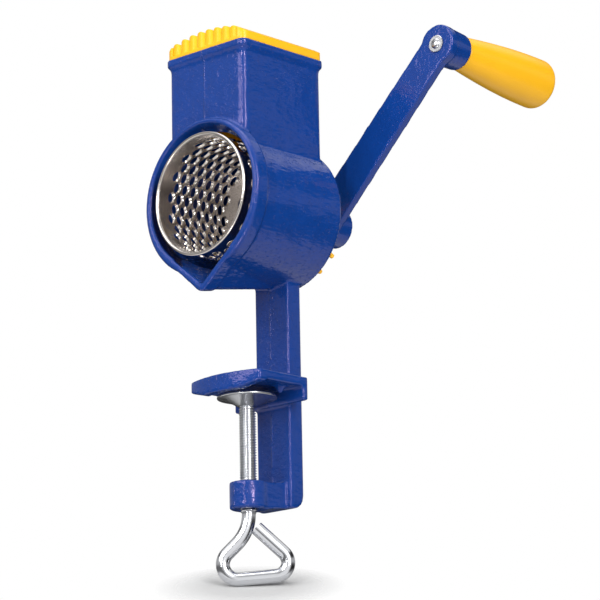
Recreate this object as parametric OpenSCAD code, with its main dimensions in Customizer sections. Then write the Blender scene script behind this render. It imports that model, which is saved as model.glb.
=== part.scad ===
// Table-clamp nut grinder: cast frame, ribbed pusher, perforated drum, crank and clamp.
// Z is up, Y runs along the drum axis with the open mouth at -Y, X is across.
// The origin is the middle of the seat under the front lip of the upper jaw.

/* [Housing] */
// Height of the drum axis above the table
axis_z = 94; // [85:0.5:105]
// Where the open mouth stands in front of the seat
mouth_y = -14; // [-20:0.5:-8]
// Length of the drum housing
housing_len = 61; // [55:0.5:68]
// Outer radius of the housing behind the mouth band
housing_r = 35.2; // [33:0.1:38]
// How far the outside of the housing lies below the drum axis
housing_drop = 3; // [0:0.1:4]
// Inner radius of the housing
bore_r = 32.3; // [31:0.1:34]
// How far the bore lies below the drum axis
bore_drop = 1.5; // [0:0.1:2]
// Outer radius of the band round the mouth
band_r = 37.8; // [35:0.1:40]
// How far the band lies below the drum axis
band_drop = 1.1; // [0:0.1:3]
// Length of the band round the mouth
band_len = 8; // [5:0.5:12]
// Length of the slope from the band down to the housing
band_slope = 2.5; // [1:0.5:5]
// Edge break of the mouth band
band_edge = 1.2; // [0.4:0.1:2]
// Radius of the bore right at the mouth
mouth_r = 33.5; // [32.5:0.1:35]
// Depth of the flare at the mouth
mouth_flare = 4; // [2:0.5:8]
// How much the flare narrows over its depth
flare_in = 3; // [1:0.1:4]
// Thickness of the rear wall
rear_wall = 3.5; // [2.5:0.1:6]

/* [Spout] */
// Depth of the keel under the drum axis, at the mouth
keel_front = 47.6; // [44:0.1:52]
// How much the keel rises over the length of the housing
keel_rise = 10.3; // [5:0.1:16]
// How far the keel steps in behind the band
keel_step = 0.7; // [0:0.1:2]
// Slope of the flanks of the keel
keel_flank = 40; // [30:1:50]
// Outer rounding of the keel
keel_r = 4; // [3:0.5:10]
// Wall of the spout
keel_wall = 3.6; // [2.5:0.1:5]
// Slope of the flanks of the trough inside
trough_flank = 38; // [28:1:50]
// How far the trough ends in front of the rear face
trough_back = 9; // [6:0.5:20]

/* [Hopper] */
// Outer width of the hopper across the drum
hopper_w = 51; // [44:0.5:60]
// How far the hopper ends in front of the rear face
hopper_back = 2.1; // [1:0.1:8]
// Front face of the hopper behind the mouth
hopper_in = 4.7; // [2:0.1:8]
// Wall of the hopper
hopper_wall = 3; // [2:0.1:5]
// Corner radius of the hopper outside
hopper_corner = 3.5; // [1:0.1:6]
// Height of the hopper rim above the drum axis
hopper_h = 72.5; // [60:0.5:85]
// How far the rim stands out from the hopper
rim_out = 1.4; // [1:0.1:4]
// Height of the rim, cove included
rim_h = 6.5; // [4:0.1:10]
// Edge break on top of the rim
rim_edge = 0.8; // [0.2:0.1:1.5]

/* [Pusher] */
// Overhang of the lid beyond the hopper wall
lid_out = 0.8; // [0:0.1:1.8]
// Thickness of the lid under the ribs
lid_t = 3.8; // [1.5:0.1:5]
// Number of finger ribs
rib_count = 8; // [5:1:9]
// Pitch of the finger ribs
rib_pitch = 5.5; // [4.5:0.01:5.6]
// Radius of a finger rib
rib_r = 4; // [2.8:0.1:5]
// Height of the middle rib above the rim
rib_top = 9.5; // [6:0.1:12]
// Radius of the arch the rib tops follow
arch_r = 84; // [60:1:300]
// Clearance between plunger and hopper, each side
plunger_gap = 1.2; // [0.6:0.1:3]
// Wall of the hollow plunger
plunger_wall = 2; // [1.2:0.1:3]
// Length of the plunger below the rim at its corners
plunger_len = 38; // [20:0.5:40]
// Radius of the arc cut in the underside
plunger_arc = 40; // [32:0.5:60]
// Gap from the arc down to the drum
plunger_clear = 14; // [4:0.5:20]

/* [Drum] */
// Radius of the drum shell outside
drum_r = 28.7; // [26:0.1:30]
// Thickness of the drum sheet
drum_t = 0.6; // [0.4:0.1:1.2]
// Room between the drum shell and the rear wall
drum_back = 7; // [5:0.5:12]
// Radius of the rolled bead
bead_r = 0.95; // [0.6:0.05:1.4]
// How far the bead stands out of the mouth
drum_proud = 0.6; // [0:0.1:3]
// Rows of holes round the drum, an even number
hole_rows = 34; // [24:2:40]
// Holes in a row
holes_per_row = 7; // [4:1:8]
// First hole behind the bead
hole_first = 8; // [5:0.1:12]
// Last hole in front of the end of the shell
hole_last = 6.1; // [4:0.1:12]
// Radius of a hole
hole_r = 2.05; // [1.5:0.05:2.6]
// Radius of the raised lip round a hole
lip_r = 2.45; // [1.9:0.05:3.2]
// Slant of the punched holes
hole_slant = 45; // [0:1:60]
// Height of the raised lip over the sheet
lip_up = 0.9; // [0.4:0.1:1.5]

/* [Drum end] */
// Thickness of the drum end plate
end_t = 1.2; // [0.8:0.1:2]
// Radius of the drum hub
hub_r = 9; // [7:0.1:12]
// Radius of the flange on the drum hub
hub_flange_r = 13; // [10:0.5:18]
// Thickness of the flange on the drum hub
hub_flange_t = 1.6; // [1:0.1:3]
// Length of the drum hub behind the end plate
hub_len = 5.4; // [3:0.1:8]
// Number of rivets through the hub flange
rivet_count = 3; // [3:1:6]
// Radius of the ring of hub rivets
rivet_ring_r = 11; // [9.5:0.1:14]
// Shank radius of a hub rivet
hub_rivet_r = 1.1; // [0.8:0.1:2]
// Radius of a hub rivet head
rivet_head_r = 1.9; // [1.4:0.1:3]

/* [Spindle] */
// Radius of the spindle
spindle_r = 5; // [4:0.1:7]
// Across flats of the square end
square_af = 7; // [5:0.1:9]
// Clearance of the square in the drum hub, each side
square_gap = 0.08; // [0.02:0.01:0.2]
// Radius of the drum screw head
screw_head_r = 4.6; // [3.5:0.1:7]
// Height of the drum screw head
screw_head_h = 3.4; // [2:0.1:5]
// Radius of the drum screw shank
screw_shank_r = 2.5; // [1.5:0.1:3]
// Length of the drum screw shank in the spindle
screw_shank_len = 12; // [6:0.5:20]
// Radius of the drum washer
washer_r = 7.5; // [5:0.1:10]
// Thickness of the drum washer
washer_t = 1; // [0.5:0.1:2]
// Thickness of the spring washer under the screw head
spring_t = 1.1; // [0.6:0.1:2]
// Slit of the spring washer
spring_slit = 0.8; // [0.4:0.1:1.5]

/* [Bearing] */
// Radius of the sleeve behind the housing
sleeve_r = 9; // [7.5:0.1:12]
// Radius of the spigot in the rear wall
spigot_r = 11; // [9:0.1:14]
// Radius of the sleeve flange
flange_r = 17; // [13:0.5:22]
// Thickness of the sleeve flange
flange_t = 2.6; // [1.5:0.1:5]
// How far the sleeve stands out behind the housing
sleeve_out = 21.2; // [16:0.1:25]
// Radial running clearance of the spindle
spindle_gap = 0.06; // [0.02:0.01:0.09]
// Angle of the stop lug below the horizontal
lug_angle = 51; // [30:1:70]
// Half angle between the two prongs of the lug
prong_angle = 8; // [5:0.5:12]
// Radius of a prong
prong_r = 1.15; // [0.8:0.05:2]
// How far the upper prong tip stands from the axis
prong_reach = 37.4; // [35:0.1:40]
// How much shorter the lower prong is
prong_short = 0.2; // [0:0.1:2]
// Radius of the thrust washer
thrust_r = 8; // [6.5:0.1:12]
// Thickness of the thrust washer
thrust_t = 0.8; // [0.4:0.1:2]
// End play on each side of the thrust washer
end_play = 0.08; // [0.02:0.01:0.3]

/* [Crank] */
// Angle of the crank from straight up
crank_angle = 44.1; // [0:0.1:90]
// Outward lean of the crank
crank_lean = 2.8; // [0:0.1:15]
// Length from the drum axis to the handle axis
crank_len = 106.8; // [80:0.1:130]
// Thickness of the arm
arm_t = 4.4; // [3:0.1:8]
// Radius of the arm end at the hub
arm_root_r = 9.4; // [7:0.1:12]
// Width of the arm next to the eye
arm_tip_w = 15.2; // [10:0.1:18]
// Radius of the eye and of its boss next to it
eye_r = 9.9; // [8:0.1:12]
// Radius of the eye boss at its end
eye_end_r = 9.1; // [7:0.1:12]
// Length of the eye boss
eye_len = 16; // [8:0.1:22]
// Radius of the crank hub
crank_hub_r = 10.1; // [7:0.1:12]
// Length of the crank hub
crank_hub_len = 13; // [10:0.1:22]
// Radius of the cross pin
pin_r = 1.5; // [1:0.1:3]
// Angle of the cross pin from straight up
pin_turn = 19; // [0:1:30]

/* [Handle] */
// Length of the grip
grip_len = 63.5; // [40:0.5:80]
// Radius of the grip next to the crank
grip_r1 = 8.3; // [7:0.05:12]
// Radius of the grip at the far end
grip_r2 = 12.6; // [9:0.1:16]
// Rounding of the far edge
grip_edge = 3; // [1:0.1:5]
// Thickness of the washer between eye boss and grip
grip_washer_t = 0.8; // [0.5:0.1:2]
// Radius of the washer between eye boss and grip
grip_washer_r = 6.5; // [5:0.1:9]
// End play on the grip
grip_play = 0.15; // [0.1:0.05:1]
// Radius of the handle axle
axle_r = 3; // [2:0.1:5]
// Radial running clearance of the grip
grip_gap = 0.08; // [0.02:0.01:0.1]
// Radius of the axle head in the grip
axle_head_r = 5; // [4:0.1:8]
// Depth of the recess in the far end of the grip
recess_h = 4; // [2:0.1:8]
// Radius of the riveted axle end
rivet_r = 2.05; // [1.5:0.05:3]
// Radius of the washer under the rivet
rivet_washer_r = 4.3; // [3:0.1:6]
// Thickness of the washer under the rivet
rivet_washer_t = 0.8; // [0.4:0.1:2]

/* [Clamp] */
// Width of the post
post_w = 22; // [16:0.5:28]
// Thickness of the post
post_t = 9; // [6:0.1:14]
// Front face of the post behind the seat
post_y = 33.5; // [28:0.1:45]
// Corner radius at the foot of the post
foot_r = 6.5; // [2:0.5:14]
// Width of the upper jaw
jaw_w = 46; // [35:0.5:55]
// Thickness of the jaw plate
jaw_t = 4.4; // [3:0.1:8]
// Underside of the jaw plate above the seat
jaw_z = 3.8; // [2:0.1:6]
// Side edge of the jaw front behind the seat middle
jaw_side_y = 1.5; // [0:0.1:4]
// How far the jaw front bows out in the middle
jaw_bow = 5; // [0:0.1:8]
// Depth of the seat lip
lip_d = 5; // [3:0.1:8]
// Width of the flat seat on the lip
seat_w = 24; // [16:0.5:40]
// How much the lip thins at its ends
lip_thin = 3.2; // [0:0.1:3.5]
// Depth of the root flange below the jaw
root_h = 6.8; // [4:0.1:10]
// Fillet under the jaw
root_fillet = 3; // [1:0.1:3.5]
// Sideways place of a grip pip
pip_x = 14; // [8:0.5:18]
// Place of the grip pips behind the seat middle
pip_y = 24; // [15:0.5:28]
// Radius of a grip pip
pip_r = 3; // [2:0.1:5]
// Top of the screw boss below the seat
boss_top = 41.2; // [36:0.1:60]
// Height of the screw boss
boss_h = 13; // [10:0.1:20]
// Radius of the screw boss
boss_r = 9; // [7:0.1:12]
// Thickness of the lower arm
arm_h = 12.4; // [8:0.1:18]
// Width of the lower arm
arm_w = 16; // [10:0.1:22]
// Slope of the lower arm
arm_slope = 5.8; // [0:0.1:12]

/* [Clamp screw] */
// Place of the screw behind the seat middle
screw_y = 16.1; // [12:0.1:20]
// Major radius of the screw thread
thread_r = 4; // [3:0.1:6]
// Radial clearance of the thread
thread_gap = 0.05; // [0.02:0.01:0.1]
// Radius of the wire of the loop handle
wire_r = 3.3; // [2.5:0.1:4]
// Radius of the bend under the screw
neck_bend = 20; // [14:0.5:30]
// Angle of the bend under the screw
neck_turn = 45; // [30:0.5:60]
// Straight run beside the loop
side_run = 6.4; // [3:0.1:12]
// Radius of the first lower bend
left_bend = 7.1; // [5:0.1:10]
// Angle of the first lower bend
left_turn = 139.4; // [120:0.1:150]
// Straight run at the bottom of the loop
base_run = 17.1; // [12:0.1:24]
// Radius of the second lower bend
right_bend = 6.3; // [5:0.1:10]
// Angle of the second lower bend
right_turn = 132.1; // [120:0.1:140]
// Straight run to the cut end of the wire
end_run = 15.5; // [10:0.1:17]
// Angle the loop handle stands at
loop_angle = 43.6; // [0:0.1:180]
// Radius of the screw neck in the disc
neck_r = 2.6; // [2:0.1:3.5]
// Radial clearance of the neck
neck_gap = 0.08; // [0.02:0.01:0.1]
// Radius of the peened screw end
peen_r = 3.8; // [3:0.1:5]
// Height of the peened screw end
peen_h = 1.2; // [0.5:0.1:3]

/* [Pressure disc] */
// Radius of the pressure disc
disc_r = 14; // [10:0.1:16]
// Thickness of the disc sheet
disc_t = 1.2; // [0.8:0.1:2.5]
// Depth of the dish
dish_h = 4.7; // [2:0.1:8]
// Radius of the flat centre of the dish
dish_r = 4.9; // [4.5:0.1:8]
// Width of the flat rim of the disc
disc_rim = 1.4; // [0.5:0.1:4]

/* [Hidden] */

blue = [0.07, 0.16, 0.5];
yellow = [0.98, 0.72, 0.1];
steel = [0.75, 0.75, 0.74];
zinc = [0.82, 0.83, 0.84];

over = 1;
keel_top = 29.5;
trough_top = 29;
keel_lead = 3;
keel_steps = 5;
keel_room = 60;
band_fall = 4.6;
lid_fall = 30;
prong_tip = 0.6;
rim_cove = 3.5;
loop_drop = 2.5;
wire_lap = 0.3;
wire_swell = 0.04;
fine = 96;
mid = 48;
small = 24;

seat = 0.3;
drum_len = housing_len - rear_wall - drum_back;
hole_pitch = (drum_len - hole_first - hole_last) / (holes_per_row - 0.5);
trough_len = housing_len - trough_back;
hopper_d = housing_len - hopper_in - hopper_back;
hopper_y1 = mouth_y + hopper_in;
hopper_y2 = hopper_y1 + hopper_d;
hopper_cy = (hopper_y1 + hopper_y2) / 2;
rim_z = axis_z + hopper_h;
drum_y = mouth_y - drum_proud + bead_r;
plate_y = drum_y + drum_len - end_t;
hub_y = drum_y + drum_len;
shoulder_y = hub_y + hub_len;
square_y = plate_y + seat;
rear_y = mouth_y + housing_len;
sleeve_y = shoulder_y + 0.3;
crank_y = rear_y + sleeve_out + thrust_t + 2 * end_play;
face_y = crank_y + seat;
jaw_front = jaw_side_y - jaw_bow;
pin_y = crank_y + crank_hub_len - 5;
grip_y = eye_len + grip_washer_t + grip_play;
screw_head_y = plate_y - washer_t - spring_t - screw_head_h;

// Axis helper: local z runs along +Y of the part, local y runs down.
module along_y(y) {
    translate([0, y, axis_z])
        rotate([-90, 0, 0])
            children();
}

module rounded_bar(hx, hy, r) {
    square([2 * hx - 2 * r, 2 * hy], center = true);
    square([2 * hx, 2 * hy - 2 * r], center = true);
    for (sx = [-1, 1])
        for (sy = [-1, 1])
            translate([sx * (hx - r), sy * (hy - r)])
                circle(r = r, $fn = mid);
}

// Section of the keel: two flanks meeting a rounded tip at the given depth.
module keel_shape(depth, r, top, flank) {
    c = depth - r;
    w = r * sin(flank) + (c + r * cos(flank) - top) / tan(flank);
    tip = [for (k = [-keel_steps : keel_steps])
        r * [sin(flank * k / keel_steps), -cos(flank * k / keel_steps)] - [0, c]];
    polygon(concat(tip, [[w, -top], [w, 0], [-w, 0], [-w, -top]]));
}

// Keel prism from in front of the mouth, its tip line rising towards the rear.
module keel(depth, r, length, top, flank) {
    slope = atan(keel_rise / housing_len);
    lead = depth * tan(slope) + keel_lead;
    translate([0, mouth_y, axis_z])
        rotate([90 + slope, 0, 0])
            mirror([0, 0, 1])
                translate([0, 0, -lead])
                    linear_extrude(height = lead + length / cos(slope))
                        keel_shape(depth * cos(slope), r, top, flank);
}

// The keel outside, cut off square in front and behind.
module keel_solid(depth, front, back) {
    intersection() {
        keel(depth, keel_r, housing_len, keel_top, keel_flank);
        translate([-band_r, mouth_y + front, axis_z - keel_room])
            cube([2 * band_r, back - front, keel_room]);
    }
}

module housing_solid() {
    along_y(mouth_y) {
        translate([0, band_drop, 0])
            rotate_extrude($fn = fine)
                polygon([[0, 0], [band_r - band_edge, 0], [band_r, band_edge], [band_r, band_len],
                    [band_r - band_fall, band_len + band_slope], [0, band_len + band_slope]]);
        translate([0, housing_drop, 0])
            rotate_extrude($fn = fine)
                polygon([[0, band_len / 2], [housing_r, band_len / 2],
                    [housing_r, housing_len - rim_edge], [housing_r - rim_edge, housing_len],
                    [0, housing_len]]);
    }
    keel_solid(keel_front, 0, band_len);
    keel_solid(keel_front - keel_step, band_len / 3, post_y - mouth_y + 4);
}

module rim_profile(half) {
    polygon([[-half, -rim_h - 6], [half, -rim_h - 6], [half, -rim_h],
        [half + rim_out * 0.4, -rim_h + rim_cove * 0.65], [half + rim_out, -rim_h + rim_cove],
        [half + rim_out, -rim_edge], [half + rim_out - rim_edge, 0],
        [-half - rim_out + rim_edge, 0], [-half - rim_out, -rim_edge],
        [-half - rim_out, -rim_h + rim_cove], [-half - rim_out * 0.4, -rim_h + rim_cove * 0.65],
        [-half, -rim_h]]);
}

module hopper_solid() {
    translate([0, hopper_cy, axis_z])
        linear_extrude(height = hopper_h - rim_h)
            rounded_bar(hopper_w / 2, hopper_d / 2, hopper_corner);
    intersection() {
        translate([0, hopper_y1 - 5, rim_z])
            rotate([90, 0, 0])
                mirror([0, 0, 1])
                    linear_extrude(height = hopper_d + 10)
                        rim_profile(hopper_w / 2);
        translate([-hopper_w, hopper_cy, rim_z])
            rotate([90, 0, 90])
                linear_extrude(height = 2 * hopper_w)
                    rim_profile(hopper_d / 2);
        translate([0, hopper_cy, rim_z - rim_h - 1])
            linear_extrude(height = rim_h + 1)
                rounded_bar(hopper_w / 2 + rim_out, hopper_d / 2 + rim_out, hopper_corner + 0.6);
    }
}

module jaw_plan() {
    bow_r = (jaw_bow * jaw_bow + jaw_w * jaw_w / 4) / (2 * jaw_bow);
    intersection() {
        translate([-jaw_w / 2, jaw_front])
            square([jaw_w, post_y - jaw_front + 0.5]);
        union() {
            translate([0, jaw_front + bow_r])
                circle(r = bow_r, $fn = fine);
            translate([-jaw_w / 2, jaw_side_y])
                square([jaw_w, post_y - jaw_side_y + 0.5]);
        }
    }
}

module lip_plan() {
    difference() {
        jaw_plan();
        translate([0, lip_d])
            jaw_plan();
    }
}

module lip_solid() {
    intersection() {
        linear_extrude(height = jaw_z + 1)
            lip_plan();
        translate([0, 40, 0])
            rotate([90, 0, 0])
                linear_extrude(height = 60)
                    polygon([[-seat_w / 2, 0], [seat_w / 2, 0], [jaw_w / 2 + 1, lip_thin],
                        [jaw_w / 2 + 1, jaw_z + 1], [-jaw_w / 2 - 1, jaw_z + 1],
                        [-jaw_w / 2 - 1, lip_thin]]);
    }
}

module root_solid() {
    face = screw_y + disc_r + 0.6;
    translate([-jaw_w / 2, face, jaw_z - root_h])
        cube([jaw_w, post_y - face + 0.5, root_h + 1]);
    difference() {
        translate([-jaw_w / 2, face - root_fillet, jaw_z - root_fillet])
            cube([jaw_w, root_fillet + 0.2, root_fillet + 0.2]);
        translate([-jaw_w / 2 - 1, face - root_fillet, jaw_z - root_fillet])
            rotate([0, 90, 0])
                cylinder(r = root_fillet, h = jaw_w + 2, $fn = mid);
    }
}

module jaw_solid() {
    translate([0, 0, jaw_z])
        linear_extrude(height = jaw_t)
            jaw_plan();
    lip_solid();
    root_solid();
    for (s = [-1, 1])
        translate([s * pip_x, pip_y, 0.3])
            cylinder(r1 = 0.4, r2 = pip_r, h = jaw_z - 0.3 + 0.2, $fn = small);
}

module post_solid() {
    bottom = -boss_top - arm_h - 0.6 + (post_y + post_t - screw_y) * tan(arm_slope) * 0.6;
    difference() {
        translate([-post_w / 2, post_y, bottom])
            cube([post_w, post_t, axis_z - bottom - 30]);
        translate([-post_w, post_y + post_t - foot_r, bottom + foot_r])
            difference() {
                translate([0, 0, -foot_r - 1])
                    cube([2 * post_w, foot_r + 1, foot_r + 1]);
                rotate([0, 90, 0])
                    cylinder(r = foot_r, h = 2 * post_w, $fn = mid);
            }
    }
}

module lower_arm() {
    length = post_y - screw_y + 4;
    translate([-arm_w / 2, screw_y, -boss_top - 0.8])
        rotate([arm_slope, 0, 0])
            translate([0, 0, -arm_h])
                cube([arm_w, length / cos(arm_slope), arm_h]);
    translate([0, screw_y, -boss_top - boss_h])
        cylinder(r = boss_r, h = boss_h, $fn = mid);
}

module body_casting() {
    color(blue)
        difference() {
            union() {
                housing_solid();
                hopper_solid();
                post_solid();
                jaw_solid();
                lower_arm();
            }
            along_y(mouth_y) {
                rotate_extrude($fn = fine)
                    polygon([[0, -over], [mouth_r + flare_in / mouth_flare, -over],
                        [mouth_r - flare_in, mouth_flare], [0, mouth_flare]]);
                translate([0, bore_drop, -over])
                    cylinder(r = bore_r, h = over + housing_len - rear_wall, $fn = fine);
            }
            intersection() {
                keel(keel_front - keel_wall, keel_r - keel_wall + 1, trough_len, trough_top,
                    trough_flank);
                translate([-bore_r, mouth_y - keel_lead, axis_z - keel_room])
                    cube([2 * bore_r, trough_len + keel_lead, keel_room]);
            }
            translate([0, hopper_cy, axis_z])
                linear_extrude(height = hopper_h + over)
                    rounded_bar(hopper_w / 2 - hopper_wall, hopper_d / 2 - hopper_wall,
                        hopper_corner - 1.5);
            along_y(rear_y - rear_wall - over)
                cylinder(r = spigot_r, h = rear_wall + 2 * over, $fn = mid);
            translate([0, screw_y, -boss_top - boss_h - over])
                cylinder(r = thread_r + thread_gap, h = boss_h + 2 * over, $fn = mid);
        }
}

module prong(angle, reach) {
    rotate([0, 0, angle])
        translate([0, 0, flange_t / 2])
            rotate([0, 90, 0]) {
                cylinder(r = prong_r, h = reach - prong_tip, $fn = small);
                translate([0, 0, reach - prong_tip])
                    cylinder(r1 = prong_r, r2 = prong_r - prong_tip, h = prong_tip, $fn = small);
            }
}

module bearing_sleeve() {
    lug_r = housing_r - 1;
    color(yellow)
        difference() {
            union() {
                along_y(sleeve_y)
                    cylinder(r = spigot_r, h = rear_y - sleeve_y + 0.2, $fn = mid);
                along_y(rear_y)
                    cylinder(r = flange_r, h = flange_t, $fn = mid);
                along_y(rear_y)
                    cylinder(r = sleeve_r, h = sleeve_out, $fn = mid);
                along_y(rear_y)
                    rotate([0, 0, lug_angle])
                        translate([0, -6, 0])
                            cube([lug_r - 1, 12, flange_t]);
                along_y(rear_y) {
                    prong(lug_angle - prong_angle, prong_reach);
                    prong(lug_angle + prong_angle, prong_reach - prong_short);
                }
            }
            along_y(sleeve_y - over)
                cylinder(r = spindle_r + spindle_gap, h = 2 * sleeve_out + housing_len, $fn = mid);
        }
}

function rib_x(i) = (i - (rib_count - 1) / 2) * rib_pitch;
function arch_drop(x) = arch_r - sqrt(arch_r * arch_r - x * x);

module pusher_top() {
    half = hopper_w / 2 + lid_out;
    fall = (rib_r - seat / 2) * [sin(lid_fall), cos(lid_fall)];
    base = [for (i = [0 : rib_count - 1]) [rib_x(i), rib_top - rib_r - arch_drop(rib_x(i))]];
    translate([0, hopper_y1 - lid_out, rim_z])
        rotate([90, 0, 0])
            mirror([0, 0, 1])
                linear_extrude(height = hopper_d + 2 * lid_out) {
                    translate([-half, 0])
                        square([2 * half, lid_t]);
                    polygon(concat([[-half, 0], [-half, lid_t], base[0] + [-fall[0], fall[1]]], base,
                        [base[rib_count - 1] + fall, [half, lid_t], [half, 0]]));
                    intersection() {
                        translate([-half, 0])
                            square([2 * half, rib_top]);
                        for (p = base)
                            translate(p)
                                circle(r = rib_r, $fn = small);
                    }
                }
}

module pusher() {
    hx = hopper_w / 2 - hopper_wall - plunger_gap;
    hy = hopper_d / 2 - hopper_wall - plunger_gap;
    core_h = plunger_len + over;
    color(yellow)
        difference() {
            union() {
                pusher_top();
                difference() {
                    translate([0, hopper_cy, rim_z - plunger_len])
                        linear_extrude(height = plunger_len + 0.2)
                            rounded_bar(hx, hy, 2);
                    for (sx = [-1, 1])
                        translate([sx * hx / 2, hopper_cy, rim_z - core_h])
                            linear_extrude(height = core_h)
                                square([hx - 1.5 * plunger_wall, 2 * (hy - plunger_wall)],
                                    center = true);
                }
            }
            along_y(hopper_y1 - 5)
                translate([0, plunger_arc - drum_r - plunger_clear, 0])
                    cylinder(r = plunger_arc, h = hopper_d + 10, $fn = fine);
        }
}

function ring(r, n) = [for (k = [0 : n - 1]) [r * cos(360 * k / n), r * sin(360 * k / n)]];

module hole_frame(i, j) {
    rotate([0, 0, i * 360 / hole_rows])
        translate([drum_r - drum_t / 2, 0, hole_first + hole_pitch * (j + (i % 2) / 2)])
            rotate([0, 90, -hole_slant])
                children();
}

module drum_shell() {
    sides = 2 * hole_rows;
    lip_end = (drum_t / 2 + lip_up - lip_r * sin(hole_slant)) / cos(hole_slant);
    lip_plug = 3;
    punch = 4;
    color(steel)
        along_y(drum_y)
            difference() {
                union() {
                    linear_extrude(height = drum_len)
                        polygon(ring(drum_r, sides));
                    for (i = [0 : hole_rows - 1])
                        for (j = [0 : holes_per_row - 1])
                            hole_frame(i, j)
                                translate([0, 0, lip_end - lip_plug])
                                    cylinder(r = lip_r, h = lip_plug, $fn = small);
                    rotate_extrude($fn = fine)
                        translate([drum_r + 0.5, 0])
                            circle(r = bead_r, $fn = small);
                }
                translate([0, 0, -2])
                    linear_extrude(height = drum_len + 4)
                        polygon(ring(drum_r - drum_t, sides));
                for (i = [0 : hole_rows - 1])
                    for (j = [0 : holes_per_row - 1])
                        hole_frame(i, j)
                            translate([0, 0, -punch])
                                cylinder(r = hole_r, h = 2 * punch, $fn = small);
            }
}

module square_hole(half, y0, length) {
    along_y(y0)
        translate([-half, -half, 0])
            cube([2 * half, 2 * half, length]);
}

module rivet_ring(y0, r, length) {
    along_y(y0)
        for (k = [0 : rivet_count - 1])
            rotate([0, 0, 90 + k * 360 / rivet_count])
                translate([rivet_ring_r, 0, 0])
                    cylinder(r = r, h = length, $fn = small);
}

module drum_end() {
    color(steel)
        difference() {
            along_y(plate_y)
                linear_extrude(height = end_t)
                    polygon(ring(drum_r - drum_t, 2 * hole_rows));
            square_hole(square_af / 2 + square_gap, plate_y - over, end_t + 2 * over);
            rivet_ring(plate_y - over, hub_rivet_r, end_t + 2 * over);
        }
}

module drum_hub() {
    color(zinc)
        difference() {
            union() {
                along_y(hub_y)
                    cylinder(r = hub_flange_r, h = hub_flange_t, $fn = mid);
                along_y(hub_y)
                    cylinder(r = hub_r, h = hub_len, $fn = mid);
            }
            square_hole(square_af / 2 + square_gap, hub_y - over, hub_len + 2 * over);
            rivet_ring(hub_y - over, hub_rivet_r, hub_flange_t + 2 * over);
        }
}

module hub_rivets() {
    color(steel) {
        rivet_ring(plate_y - 0.6, hub_rivet_r, end_t + hub_flange_t + 1.2);
        rivet_ring(plate_y - 0.9, rivet_head_r, 0.9);
        rivet_ring(hub_y + hub_flange_t, rivet_head_r, 0.9);
    }
}

// Round bar through the crank hub, half its length to each side of the drum axis.
module cross_bar(half) {
    translate([0, pin_y, axis_z])
        rotate([0, pin_turn, 0])
            translate([0, 0, -half])
                cylinder(r = pin_r, h = 2 * half, $fn = small);
}

module spindle() {
    end_y = crank_y + crank_hub_len - 0.5;
    color(zinc)
        difference() {
            union() {
                square_hole(square_af / 2, square_y, shoulder_y - square_y + 0.2);
                along_y(shoulder_y)
                    cylinder(r = spindle_r, h = end_y - shoulder_y, $fn = mid);
            }
            along_y(square_y - over)
                cylinder(r = screw_shank_r, h = screw_shank_len + 1.5 + over, $fn = small);
            cross_bar(spindle_r + over);
        }
}

module drum_washer() {
    color(zinc)
        along_y(plate_y - washer_t)
            difference() {
                cylinder(r = washer_r, h = washer_t, $fn = mid);
                translate([0, 0, -over])
                    cylinder(r = screw_shank_r + 0.2, h = washer_t + 2 * over, $fn = small);
            }
}

module spring_washer() {
    color(steel)
        along_y(plate_y - washer_t - spring_t)
            difference() {
                cylinder(r = screw_head_r, h = spring_t, $fn = mid);
                translate([0, 0, -over])
                    cylinder(r = screw_shank_r + 0.15, h = spring_t + 2 * over, $fn = small);
                translate([0, -spring_slit / 2, -over])
                    cube([screw_head_r + over, spring_slit, spring_t + 2 * over]);
            }
}

module drum_screw() {
    color(zinc)
        difference() {
            union() {
                along_y(screw_head_y)
                    cylinder(r = screw_head_r, h = screw_head_h, $fn = mid);
                along_y(screw_head_y + screw_head_h - 0.2)
                    cylinder(r = screw_shank_r, h = washer_t + spring_t + screw_shank_len,
                        $fn = small);
            }
            translate([-screw_head_r - over, screw_head_y - over, axis_z - 0.6])
                cube([2 * (screw_head_r + over), over + 1.4, 1.2]);
        }
}

module thrust_washer() {
    color(zinc)
        along_y(rear_y + sleeve_out + end_play)
            difference() {
                cylinder(r = thrust_r, h = thrust_t, $fn = mid);
                translate([0, 0, -over])
                    cylinder(r = spindle_r + 0.15, h = thrust_t + 2 * over, $fn = mid);
            }
}

// Local frame of the crank arm: z along the arm, y square to its face, outwards.
module crank_frame() {
    translate([0, face_y, axis_z])
        rotate([-crank_lean, crank_angle, 0])
            children();
}

module arm_plan() {
    circle(r = arm_root_r, $fn = mid);
    translate([0, crank_len])
        circle(r = eye_r, $fn = mid);
    polygon([[-arm_root_r, 0], [arm_root_r, 0], [arm_tip_w / 2, crank_len - 12],
        [arm_tip_w / 2, crank_len], [-arm_tip_w / 2, crank_len], [-arm_tip_w / 2, crank_len - 12]]);
}

module crank_arm() {
    color(blue)
        difference() {
            union() {
                crank_frame()
                    rotate([90, 0, 0])
                        mirror([0, 0, 1])
                            linear_extrude(height = arm_t)
                                arm_plan();
                crank_frame()
                    translate([0, 0, crank_len])
                        rotate([-90, 0, 0])
                            cylinder(r1 = eye_r, r2 = eye_end_r, h = eye_len, $fn = mid);
                along_y(crank_y)
                    cylinder(r = crank_hub_r, h = crank_hub_len, $fn = mid);
            }
            translate([-30, crank_y - 20, axis_z - 30])
                cube([60, 20, 60]);
            along_y(crank_y - over)
                cylinder(r = spindle_r, h = crank_hub_len + 2 * over, $fn = mid);
            cross_bar(crank_hub_r + over);
            crank_frame()
                translate([0, -over, crank_len])
                    rotate([-90, 0, 0])
                        cylinder(r = axle_r, h = eye_len + 2 * over, $fn = small);
        }
}

module crank_pin() {
    half = crank_hub_r - 0.4;
    color(steel)
        cross_bar(half);
}

// Local frame of the handle: z along the handle axis, from the eye face outwards.
module handle_frame() {
    crank_frame()
        translate([0, 0, crank_len])
            rotate([-90, 0, 0])
                children();
}

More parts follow.
